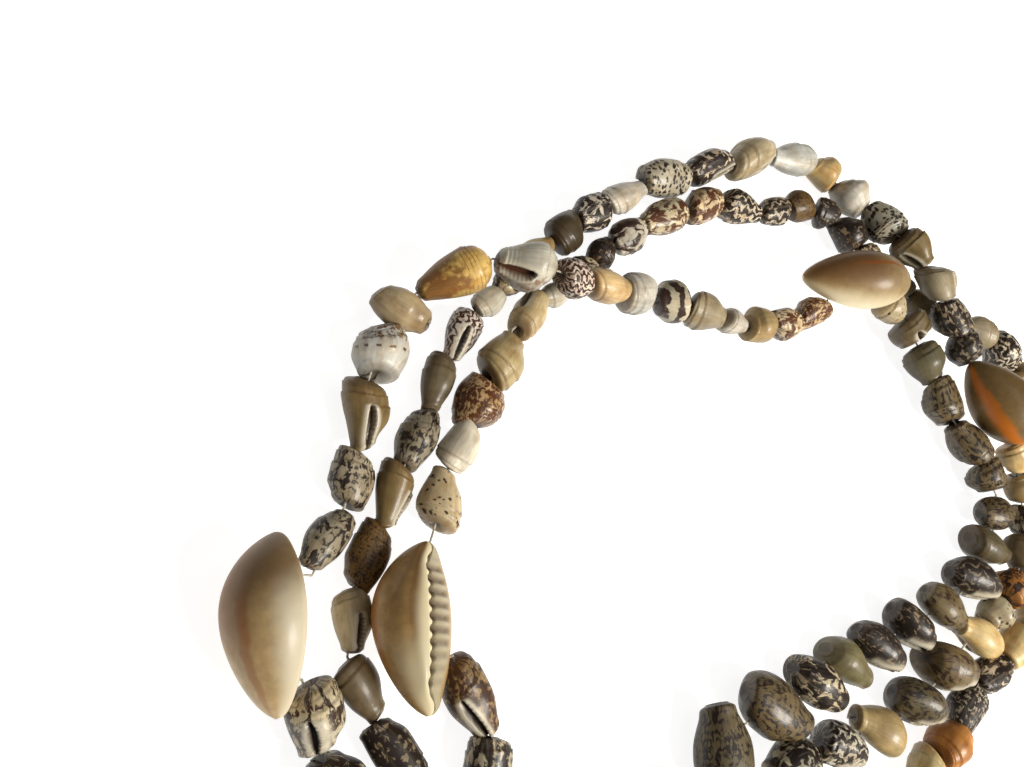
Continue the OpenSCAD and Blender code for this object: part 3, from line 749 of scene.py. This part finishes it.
def add_piece(name, node, slot, bm, materials):
    """The finished piece, in metres, on the one body, in place of the part's own node."""
    bmesh.ops.scale(bm, vec=(MM, MM, MM), verts=bm.verts)
    mesh = bpy.data.meshes.new(name)
    bm.to_mesh(mesh)
    bm.free()
    piece = bpy.data.objects.new(name, mesh)
    for material in materials:
        mesh.materials.append(material)
    bpy.context.scene.collection.objects.link(piece)
    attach(piece, "root")
    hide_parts(node)


def add_shells(name, node, slot, chart, joints, rows, finishes):
    """The shells of some rows of a strand, as one piece."""
    bm = bmesh.new()
    layers = new_mesh_layers(bm)
    patterns = sorted({FINISHES[chart[k].finish][0] for k in rows})
    slots = {pattern: i for i, pattern in enumerate(patterns)}
    for k in rows:
        add_shell(bm, layers, slots, chart, joints, k)
    add_piece(name, node, slot, bm, [finishes[pattern] for pattern in patterns])


# Cowries: the same sections as in the part's source, with a finely toothed mouth
# Depth of the grooves on either lip, how far out they run as shares of the half width, and how far
# the slit lies off the middle and how wide it is
PLAIN_MOUTH = ((0.45, 0.45), (0.6, 0.42), 0, 1)
COWRIE_MOUTHS = {"cowrie_toothed": ((0.9, 0.5), (0.6, 0.3), -3.6, 1.4)}
# Paint of each cowrie: back, margins, clouds, and its stripes as cowrie_finish() takes them
STRIPE_FADE = 0.3
COWRIE_PAINT = {
    "cowrie_left": ((200, 168, 118), (228, 212, 174), (164, 130, 84), [
        # Dark stripes: own brown and painted shade. Cream stripe: pale margin and painted highlight
        ((142, 92, 42), 0.45, 0.17, 0.85, -0.4, 0.74),
        ((156, 92, 34), 0.56, 0.024, 0.6, 0.1, 1.1),
        ((120, 90, 52), 0.62, 0.2, 0.85, -0.4, 0.48),
        ((240, 228, 198), 0.74, 0.13, 0.85, 0.15, 1.4),
    ], LIP_WHITE, LIP_WHITE),
    "cowrie_toothed": ((184, 146, 90), (186, 148, 92), (156, 118, 66), [
        # The cream stripes are the pale lip, widened towards the lower end by painted light
        ((132, 88, 42), 0.777, 0.035, 0.6, -0.3, 0.75),
        ((176, 106, 42), 0.62, 0.03, 0.6, 0.1, 0.9),
        ((240, 226, 186), 0.87, 0.12, 1, 0.2, 1.3),
        ((232, 216, 176), 0.78, 0.12, 0.9, 0.5, 1.3),
    ], LIP_CREAM, LIP_GREY),
    "cowrie_right": ((184, 156, 110), (228, 212, 170), (148, 120, 76), [
        # Dark stripes: own brown and painted shade along the top. Cream stripe: pale margin and
        # painted light
        ((126, 82, 34), 0.42, 0.2, 0.85, 0.25, 1.2),
        ((130, 96, 50), 0.36, 0.13, 0.8, -0.2, 0.45),
        ((236, 222, 186), 0.7, 0.13, 0.75, -0.3, 1.1),
        ((170, 92, 30), 0.455, 0.012, 0.8, 0.1, 0.8),
    ], LIP_WHITE, LIP_WHITE),
    "cowrie_edge": ((132, 104, 60), (136, 108, 66), (104, 80, 44), [
        ((198, 108, 4), 0.585, 0.042, 0.95, -0.4, 1.4),
    ], LIP_WHITE, LIP_WHITE),
}
# Their form: heights and widths are shares of the cowrie's own, and powers say how full it is.
# u runs round the section, with the base in the first and last BASE_SHARE of it
COWRIE_AROUND = 120
COWRIE_ALONG = 140
WIDTH_POWER = 0.6
WIDTH_LEAN = 0.1
HEIGHT_POWER = 0.55
HEIGHT_LEAN = 0.12
END_RISE = 0.16
BEAK_RISE = 0.14
BEAK_POWER = 0.3
BASE_SHARE = 0.28
BASE_CROWDING = 1.6
MARGIN = 0.98
MARGIN_RISE = 0.214
MARGIN_POWER = 3.5
BASE_SWELL = 0.05
SWELL_WIDTH = 1.1
SWELL_ENDS = (0.2, 0.7)
DOME_START = -11
DOME_SPAN = 202
DOME_FOOT = 0.34
SLIT_HALF = 0.8
SLIT_RIDGES = 0.45
SLIT_CLOSING = 1.6
SLIT_DEPTH = 2.4
DEPTH_CLOSING = 1.5
SLIT_MOST = 0.4
SLIT_LEAST = 0.001
HOLLOW_FADE = (0.4, 1.15)
TEETH_INSIDE = (0.5, 1)
TEETH_OUTSIDE = (0.7, 1)
TEETH_ENDS = (0.25, 0.6)
TEETH_FADE = (0.5, 0.8)
TEETH_LOSS = 0.65
COWRIE_TEETH = 14
SHIFT_ENDS = (0.1, 0.5)


def cowrie_form(u, v, size, grooves, reaches, slit_shift, slit_width):
    """Places in the cowrie's own frame in millimetres, UV, and shares of lip, hollow and groove."""
    long, wide, high = size
    s = 0.5 - 0.5 * np.cos(math.pi * v)
    full = np.maximum(np.sin(math.pi * s), 0)
    lean = np.cos(math.pi * s)
    w = wide / 2 * full**WIDTH_POWER * (1 + WIDTH_LEAN * lean)
    h = high * full**HEIGHT_POWER * (1 + HEIGHT_LEAN * lean)
    rise = END_RISE * high * (1 - full**WIDTH_POWER)
    rise = rise + BEAK_RISE * high * (1 - full**BEAK_POWER) ** 4

    side = np.where(u < 0.5, 1, -1)
    base = np.clip(np.minimum(u, 1 - u) / BASE_SHARE, 0, 1)
    out = MARGIN * w * base**BASE_CROWDING
    ridge = 0.5 + 0.5 * np.cos(2 * math.pi * COWRIE_TEETH * s)
    slit = slit_width * (SLIT_HALF - SLIT_RIDGES * ridge) * np.minimum(1, SLIT_CLOSING * full)
    slit = np.minimum(slit, SLIT_MOST * w + SLIT_LEAST)
    depth = np.minimum(SLIT_DEPTH * np.minimum(1, DEPTH_CLOSING * full), SLIT_MOST * h)
    hollow = 1 - smooth_step(*HOLLOW_FADE, out / slit)
    reach = np.maximum(np.where(side > 0, *reaches) * w, TINY)
    toothed = smooth_step(*TEETH_INSIDE, out / slit)
    toothed = toothed * (1 - smooth_step(*TEETH_OUTSIDE, out / reach))
    toothed = toothed * smooth_step(*TEETH_ENDS, full)
    toothed = toothed * (1 - TEETH_LOSS * smooth_step(*TEETH_FADE, s))
    groove = (1 - ridge) * toothed
    swell = np.sin(math.pi * np.clip(base * SWELL_WIDTH, 0, 1)) * smooth_step(*SWELL_ENDS, full)
    z_base = depth * hollow + np.where(side > 0, *grooves) * groove - BASE_SWELL * h * swell
    z_base = z_base + MARGIN_RISE * h * base ** (MARGIN_POWER * BASE_CROWDING)

    dome = np.clip((u - BASE_SHARE) / (1 - 2 * BASE_SHARE), 0, 1)
    angle = np.radians(DOME_START + DOME_SPAN * dome)
    on_base = base < 1
    z_dome = DOME_FOOT * h + (1 - DOME_FOOT) * h * np.sin(angle)
    shift = slit_shift * (1 - base**2) * smooth_step(*SHIFT_ENDS, full)
    y = np.where(on_base, side * out + shift, w * np.cos(angle))
    z = rise + np.where(on_base, z_base, z_dome)
    co = np.stack([long * (0.5 - s), y, z], axis=-1)
    lip = np.where(on_base, 1 - base, 0)
    zones = np.stack([lip, np.where(on_base, hollow, 0), groove], axis=-1)
    return co, np.stack([u, s], axis=-1), zones


def add_cowrie(node, material):
    (x, y, z), (heading, pitch, roll), size, slot = COWRIES[node]
    bm = bmesh.new()
    layers = new_mesh_layers(bm)

    def shape(u, v):
        return cowrie_form(u, v, size, *COWRIE_MOUTHS.get(node, PLAIN_MOUTH))

    verts, _ = wrapped_grid(bm, layers, COWRIE_AROUND, COWRIE_ALONG, shape)
    close_form(bm, verts)
    turns = (
        Matrix.Rotation(math.radians(heading), 4, "Z")
        @ Matrix.Rotation(math.radians(-pitch), 4, "Y")
        @ Matrix.Rotation(math.radians(roll), 4, "X")
    )
    lay_down_with_painted_shade(bm, layers, verts, Matrix.Translation((x, y, z)) @ turns, COWRIE_PAINTED_SHADE_RANGE)
    add_piece("shell_" + node, node, slot, bm, [material])


# Materials
class Value:
    """A socket in a material's nodes. Arithmetic on it adds Math nodes."""

    def __init__(self, recipe, socket):
        self.recipe = recipe
        self.socket = socket

    def __add__(self, other):
        return self.recipe.math("ADD", self, other)

    def __sub__(self, other):
        return self.recipe.math("SUBTRACT", self, other)

    def __mul__(self, other):
        return self.recipe.math("MULTIPLY", self, other)

    def __truediv__(self, other):
        return self.recipe.math("DIVIDE", self, other)

    __radd__ = __add__
    __rmul__ = __mul__

    def __rsub__(self, other):
        return self.recipe.math("SUBTRACT", other, self)

    def __rtruediv__(self, other):
        return self.recipe.math("DIVIDE", other, self)


class Recipe:
    """One material: its nodes come from make(), and its shader's sockets are filled by glaze()."""

    def __init__(self, name):
        self.material = bpy.data.materials.new(name)
        self.material.use_nodes = True
        self.nodes = self.material.node_tree.nodes
        self.links = self.material.node_tree.links
        self.shader = self.nodes["Principled BSDF"]

    @staticmethod
    def find(sockets, key):
        if isinstance(key, int):
            return sockets[key]
        return next((s for s in sockets if s.identifier == key), None) or sockets[key]

    def fill(self, node, inputs):
        for key, value in inputs.items():
            socket = self.find(node.inputs, key)
            if isinstance(value, Value):
                self.links.new(value.socket, socket)
            else:
                socket.default_value = value

    def make(self, kind, settings=None, inputs=None, output=0):
        """Adds a node: first its settings, then the values or links of its sockets."""
        node = self.nodes.new(kind)
        for key, value in (settings or {}).items():
            setattr(node, key, value)
        self.fill(node, inputs or {})
        return Value(self, self.find(node.outputs, output))

    def glaze(self, **inputs):
        self.fill(self.shader, {key.replace("_", " "): value for key, value in inputs.items()})
        return self.material

    def layer(self, name, output="Vector"):
        return self.make("ShaderNodeAttribute", {"attribute_name": name}, output=output)

    def parts(self, vector):
        return [self.make("ShaderNodeSeparateXYZ", inputs={0: vector}, output=i) for i in range(3)]

    def join(self, x, y, z):
        return self.make("ShaderNodeCombineXYZ", inputs={0: x, 1: y, 2: z})

    def uv(self):
        return self.parts(self.make("ShaderNodeUVMap", {"uv_map": "UVMap"}))

    def object_place(self):
        return self.make("ShaderNodeTexCoord", output="Object")

    def math(self, operation, *terms):
        return self.make("ShaderNodeMath", {"operation": operation}, dict(enumerate(terms)))

    def vector_math(self, operation, inputs):
        return self.make("ShaderNodeVectorMath", {"operation": operation}, inputs)

    def stretch(self, vector, factors):
        return self.vector_math("MULTIPLY", {0: vector, 1: factors})

    def scaled(self, vector, factor):
        return self.vector_math("SCALE", {0: vector, "Scale": factor})

    def moved(self, vector, offset):
        return self.vector_math("ADD", {0: vector, 1: offset})

    def noise(self, vector, scale, detail=2, roughness=0.5, distortion=0):
        inputs = {"Vector": vector, "Scale": scale, "Detail": detail, "Roughness": roughness}
        return self.make("ShaderNodeTexNoise", inputs=inputs | {"Distortion": distortion})

    def wander(self, vector, scale, detail=2, roughness=0.5):
        """Noise that goes to either side of 0."""
        return self.noise(vector, scale, detail, roughness) - 0.5

    def spots(self, vector, scale, randomness):
        inputs = {"Vector": vector, "Scale": scale, "Randomness": randomness}
        return self.make("ShaderNodeTexVoronoi", inputs=inputs)

    def wave(self, turns):
        """Sine of a number of turns."""
        return self.math("SINE", turns * (2 * math.pi))

    def soft(self, value, low, high, start=0, end=1):
        """Goes smoothly from start to end as value goes from low to high."""
        inputs = {"Value": value, "From Min": low, "From Max": high, "To Min": start, "To Max": end}
        return self.make("ShaderNodeMapRange", {"interpolation_type": "SMOOTHSTEP"}, inputs)

    def mix(self, under, over, share):
        """Colour over laid on colour under."""
        inputs = {"Factor_Float": share, "A_Color": under, "B_Color": over}
        return self.make("ShaderNodeMix", {"data_type": "RGBA"}, inputs, "Result_Color")

    def bump(self, height, strength, depth):
        inputs = {"Height": height, "Strength": strength, "Distance": depth * MM}
        return self.make("ShaderNodeBump", inputs=inputs, output="Normal")


# Patterns of the small shells. Noise goes by the millimetre, and spacings are in millimetres. A
# piece's own size is its circumference, its length and the scale of its marks
LENGTHWISE = 0.62
ROW_SPACING = 2.6
STRIPE_SPACING = 2.6
ZIGZAG_SPACING = 3.1
BAND_SPACING = 3.2
RING_AT = 0.52
RING_SPACING = 2.9
LINE_SPACING = 0.9


def glaze_marks(recipe, place, u, v, size, cover):
    """Faint clouds, more of them near the spire."""
    apex = 1 - recipe.soft(v, 0.02, 0.3)
    return recipe.soft(recipe.noise(place, 0.25, 4, 0.6) + apex * 0.16, 0.46, 0.76) * cover


def dot_marks(recipe, place, u, v, size, cover):
    """Small dots, in patches."""
    circumference, length, scale = size
    flat = recipe.join(u * circumference / scale, v * length / scale, 0)
    ragged = recipe.wander(place, 1.1, 3) * 0.7
    patchy = recipe.wander(place, 0.2) * 0.5
    distance = recipe.spots(recipe.stretch(flat, (0.72, 1.05, 1)), 0.85, 0.85) + ragged + patchy
    return 1 - recipe.soft(distance - cover, -0.1, 0.08)


def mottle_marks(recipe, place, u, v, size, cover):
    """Rough blotches that run lengthwise and are broken by rows round the shell."""
    circumference, length, scale = size
    flat = recipe.join(u * circumference / scale, v * length / scale * LENGTHWISE, 0)
    patches = recipe.noise(recipe.moved(flat, recipe.scaled(place, 0.1)), 0.46, 3, 0.6, 0.9)
    ragged = recipe.wander(place, 2.4, 3, 0.6)
    rows = recipe.wave(v * length / scale / ROW_SPACING + u + ragged * 0.8)
    covered = patches + (cover - 0.5) * 0.34
    return recipe.soft(covered + ragged * 0.16 + rows * 0.035, 0.46, 0.56)


def cap_marks(recipe, place, u, v, size, cover):
    """Blotches near the spire, one row of spots at the middle and a plain lower half."""
    squeezed = recipe.stretch(place, (1, 1, 0.7))
    blotches = recipe.soft(recipe.noise(squeezed, 0.7, 4, 0.65, 0.6), 0.46, 0.56)
    cap = 1 - recipe.soft(v + recipe.wander(place, 0.4) * 0.3, 0.3, 0.44)
    ring = v - RING_AT + recipe.wander(place, 0.3) * 0.1
    ragged = recipe.wander(place, 1.1, 3) * 2.4
    spots = recipe.wave(u * size[0] / RING_SPACING + ragged * 0.3)
    spots = recipe.soft(spots + ragged, 0.1, 0.6)
    spots = spots * (1 - recipe.soft(ring * ring + ragged * 0.0006, 0.0002, 0.0016))
    return recipe.math("MAXIMUM", blotches * cap, spots)


def flame_marks(recipe, place, u, v, size, cover):
    """Zigzag stripes along the shell, a whole number of them round it."""
    circumference, length, scale = size
    stripes = recipe.math("ROUND", circumference / scale / STRIPE_SPACING)
    zigzag = recipe.wave(v * length / scale / ZIGZAG_SPACING) * 0.22
    near = recipe.scaled(place, 1 / scale)
    wander = recipe.wander(near, 0.45, 4, 0.6) * 2.6
    breaks = recipe.wander(near, 0.8, 3) * 3
    stripes = recipe.wave(u * stripes + zigzag + wander) + breaks
    return recipe.soft(stripes + (cover - 0.5) * 1.6, -0.45, 0.1)


def band_marks(recipe, place, u, v, size, cover):
    """Wavy bands round the shell."""
    _, length, scale = size
    wander = recipe.wander(recipe.scaled(place, 1 / scale), 0.35) * 1.4
    return recipe.soft(recipe.wave(v * length / scale / BAND_SPACING + wander), -0.15, 0.4)


def gilding_marks(recipe, place, u, v, size, cover):
    """Fine lines round the spire's half, and burnt patches towards the tip."""
    lines = recipe.wave(v * size[1] / LINE_SPACING + recipe.noise(place, 0.3) * 0.8)
    lines = recipe.soft(lines, 0.4, 0.9) * recipe.soft(recipe.noise(place, 0.25, 3), 0.38, 0.6)
    lines = lines * (1 - recipe.soft(v, 0.4, 0.65)) * 0.6
    burnt = recipe.noise(place, 0.16, 4, 0.6) + recipe.soft(v, 0.3, 0.95) * 0.14
    return recipe.math("MAXIMUM", lines, recipe.soft(burnt, 0.44, 0.58) * 0.85)


def pearling_marks(recipe, place, u, v, size, cover):
    """Brown stains beside the mouth."""
    near_mouth = 1 - recipe.soft(u, 0.1, 0.2)
    return near_mouth * recipe.soft(recipe.noise(place, 0.5, 3), 0.42, 0.6) * 0.75


SHELL_SPECULAR = 0.35


def shell_finish(name, marks):
    """Glazed shell: its ground and marks come from the piece, the pattern from marks(). Its creases
    and ends get painted shade with some grime, its mouth and underside painted shade.
    """
    recipe = Recipe(name)
    place = recipe.layer("place")
    u, v, _ = recipe.uv()
    size = recipe.parts(recipe.layer("size"))
    lip, hollow, crease = recipe.parts(recipe.layer("zone"))
    cover = recipe.layer("mark", "Alpha")
    cloud = recipe.noise(place, 0.16, 3)
    growth = recipe.noise(recipe.join(u * size[0] * 1.6, v * size[1] * 0.16, cloud), 1, 3)
    shade = recipe.soft(cloud, 0.25, 0.75, 0.74, 1.16) * recipe.soft(growth, 0.3, 0.7, 0.86, 1.08)
    ground = recipe.scaled(recipe.layer("ground", "Color"), shade)
    stain = recipe.soft(recipe.noise(place, 0.22, 4, 0.65), 0.42, 0.75)
    ground = recipe.mix(ground, recipe.stretch(ground, linear(STAIN)), stain * 0.6)
    pattern = marks(recipe, place, u, v, size, cover)
    own_mark = recipe.layer("mark", "Color")
    mark = recipe.scaled(own_mark, recipe.soft(growth, 0.35, 0.65, 0.75, 1.4))
    colour = recipe.mix(ground, mark, pattern * recipe.soft(growth, 0.25, 0.5, 0.8, 1))
    # Creases at the suture and the ends: painted shade, with some grime
    crease_shade_and_grime = crease * recipe.soft(cloud, 0.35, 0.6, 0.15, 0.55)
    colour = recipe.mix(colour, paint(CREASE_SHADE_BROWN), crease_shade_and_grime)
    colour = recipe.mix(colour, paint(LIP_WHITE), lip * 0.85)
    # Mouth, drilled ends and gaps between teeth: painted shade, a darkened tone of the mark colour
    colour = recipe.mix(colour, recipe.scaled(own_mark, MOUTH_SHADE), hollow)
    # The base colour is darkened by the painted underside shade kept in the ground attribute's
    # alpha
    return recipe.glaze(
        Base_Color=recipe.scaled(colour, recipe.layer("ground", "Alpha")),
        Roughness=recipe.soft(cloud, 0.3, 0.7, 0.38, 0.6),
        Normal=recipe.bump(growth * 0.5 + pattern * 0.2, 0.25, 0.15),
        Specular_IOR_Level=SHELL_SPECULAR,
        Coat_Weight=0.18,
        Coat_Roughness=0.16,
    )


SHELL_PATTERNS = {
    "glaze": glaze_marks,
    "dots": dot_marks,
    "mottling": mottle_marks,
    "caps": cap_marks,
    "flames": flame_marks,
    "bands": band_marks,
    "gilding": gilding_marks,
    "pearling": pearling_marks,
}


def cowrie_finish(name, back, margin, shadow, stripes, near_lip, far_lip):
    """Polished cowrie: a clouded back, pale margins and a toothed mouth. Each stripe runs along the
    shell: colour, how far round it lies, half width, strength, and the ends of its stretch. Some
    stripes are partly painted shade and painted light. The slit, grooves and underside get
    painted shade."""
    recipe = Recipe(name)
    place = recipe.layer("place")
    u, s, _ = recipe.uv()
    lip, hollow, groove = recipe.parts(recipe.layer("zone"))
    cloud = recipe.noise(place, 0.09, 4, 0.6)
    fine = recipe.noise(place, 0.5, 4, 0.65)
    across = (u - 0.5) / (0.5 - BASE_SHARE)
    drift = recipe.wander(recipe.join(s * 5, 0.5, 0.5), 1) * 0.05
    edge = recipe.soft(across * across + (cloud - 0.5) * 1.2, 1.1, 0.3)
    ground = recipe.mix(paint(margin), paint(back), edge)
    ground = recipe.mix(ground, paint(shadow), recipe.soft(cloud, 0.45, 0.7) * 0.7)
    colour = recipe.scaled(ground, recipe.soft(fine, 0.3, 0.7, 0.84, 1.08))
    for paint_colour, at, width, strength, start, end in stripes:
        offset = u - at + drift
        stripe = 1 - recipe.soft(offset * offset, 0, width * width)
        fade = recipe.soft(s, start, start + STRIPE_FADE)
        fade = fade * (1 - recipe.soft(s, end - STRIPE_FADE, end))
        colour = recipe.mix(colour, paint(paint_colour), stripe * fade * strength)
    lips = recipe.mix(paint(far_lip), paint(near_lip), recipe.soft(u, 0.4, 0.6))
    colour = recipe.mix(colour, lips, recipe.soft(lip, 0.15, 0.4))
    # Grooves between the teeth: painted shade
    colour = recipe.mix(colour, paint(CREASE_SHADE_BROWN), groove * 0.85)
    # Slit: painted shade
    colour = recipe.mix(colour, paint(MOUTH_SHADE_BROWN), hollow)
    # The base colour is darkened by the painted underside shade kept in the ground attribute's
    # alpha
    return recipe.glaze(
        Base_Color=recipe.scaled(colour, recipe.layer("ground", "Alpha")),
        Roughness=recipe.soft(cloud, 0.3, 0.7, 0.42, 0.56),
        Normal=recipe.bump(fine, 0.1, 0.1),
        Specular_IOR_Level=SHELL_SPECULAR,
        Coat_Weight=0.14,
        Coat_Roughness=0.2,
    )


THREAD_LIGHT = (206, 200, 184)
THREAD_DARK = (158, 148, 128)
BONE_LIGHT = (226, 212, 184)
BONE_DARK = (176, 148, 108)
TABLE_LIGHT = (202, 202, 200)
TABLE_DARK = (196, 196, 194)
# The table shines a little by itself, so that it stays white and its shadows stay pale
TABLE_GLOW = 0.88


def thread_finish():
    recipe = Recipe("waxed_thread")
    strands = recipe.noise(recipe.object_place(), 2500)
    ply = recipe.soft(strands, 0.35, 0.65)
    return recipe.glaze(
        Base_Color=recipe.mix(paint(THREAD_LIGHT), paint(THREAD_DARK), ply),
        Roughness=recipe.soft(strands, 0.3, 0.7, 0.4, 0.6),
        Normal=recipe.bump(strands, 0.3, 0.05),
    )


def clasp_finish():
    recipe = Recipe("polished_bone")
    grain = recipe.noise(recipe.stretch(recipe.object_place(), (120, 900, 900)), 1, 4, 0.6)
    streaks = recipe.soft(grain, 0.45, 0.75)
    return recipe.glaze(
        Base_Color=recipe.mix(paint(BONE_LIGHT), paint(BONE_DARK), streaks),
        Roughness=recipe.soft(grain, 0.3, 0.7, 0.25, 0.4),
        Normal=recipe.bump(grain, 0.15, 0.05),
        Coat_Weight=0.3,
    )


def table_finish():
    recipe = Recipe("white_table")
    speck = recipe.noise(recipe.object_place(), 60)
    return recipe.glaze(
        Base_Color=recipe.mix(paint(TABLE_DARK), paint(TABLE_LIGHT), speck),
        Roughness=0.7,
        Emission_Color=(1, 1, 1, 1),
        Emission_Strength=TABLE_GLOW,
    )


# The pieces and the room
def dress_node(node, material):
    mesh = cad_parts[node].data
    mesh.materials.clear()
    mesh.materials.append(material)


def add_table(material):
    bm = bmesh.new()
    bmesh.ops.create_grid(bm, x_segments=8, y_segments=8, size=2)
    mesh = bpy.data.meshes.new("table")
    bm.to_mesh(mesh)
    bm.free()
    mesh.materials.append(material)
    table = bpy.data.objects.new("table", mesh)
    bpy.context.scene.collection.objects.link(table)


# Lamps: heading and height in degrees, distance and size in metres, power and colour
LAMPS = {
    "lamp_low": (-45, 48, 0.8, 0.3, 8.6, (1, 0.96, 0.88)),
    "ceiling": (60, 75, 1.0, 0.6, 1, (1, 1, 1)),
}
ROOM_LIGHT = 0.09


def add_lamp(name, heading, height, distance, size, power, colour):
    """A square soft light that faces the origin."""
    data = bpy.data.lights.new(name, "AREA")
    data.size = size
    data.energy = power
    data.color = colour
    a, e = math.radians(heading), math.radians(height)
    way = Vector((math.cos(a) * math.cos(e), math.sin(a) * math.cos(e), math.sin(e)))
    turn = way.to_track_quat("Z", "Y").to_matrix().to_4x4()
    lamp = bpy.data.objects.new(name, data)
    lamp.matrix_world = Matrix.Translation(way * distance) @ turn
    bpy.context.scene.collection.objects.link(lamp)


def add_room():
    scene = bpy.context.scene
    scene.view_settings.view_transform = "Standard"
    world = bpy.data.worlds.new("white_room")
    world.use_nodes = True
    background = world.node_tree.nodes["Background"].inputs
    background["Color"].default_value = (1, 1, 1, 1)
    background["Strength"].default_value = ROOM_LIGHT
    scene.world = world
    for name, settings in LAMPS.items():
        add_lamp(name, *settings)


def add_necklace():
    finishes = {name: shell_finish(name, marks) for name, marks in SHELL_PATTERNS.items()}
    for name, (route, chart, hole, split) in STRANDS.items():
        joints = strand_joints(route, chart, hole)
        small = [k for k, row in enumerate(chart) if row.kind in SMALL_KINDS]
        for half, slot, rows in (
            ("a", "cream_shell", [k for k in small if k < split]),
            ("b", "speckled_shell", [k for k in small if k >= split]),
        ):
            piece, node = f"shells_{name}_{half}", f"strand_{name}_{half}"
            add_shells(piece, node, slot, chart, joints, rows, finishes)
    joints = strand_joints(OUTER_ROUTE, OUTER, CLASP_PITCH)
    for node, slot in (("cone_golden", "golden_shell"), ("cone_white", "pearl_shell")):
        rows = [k for k, row in enumerate(OUTER) if row.kind == node]
        add_shells("shell_" + node, node, slot, OUTER, joints, rows, finishes)
    for node in COWRIES:
        add_cowrie(node, cowrie_finish(f"{node}_glaze", *COWRIE_PAINT[node]))
    thread = thread_finish()
    for name in STRANDS:
        dress_node("thread_" + name, thread)
    dress_node("clasp_bar", clasp_finish())


add_camera()
add_room()
add_table(table_finish())
add_necklace()
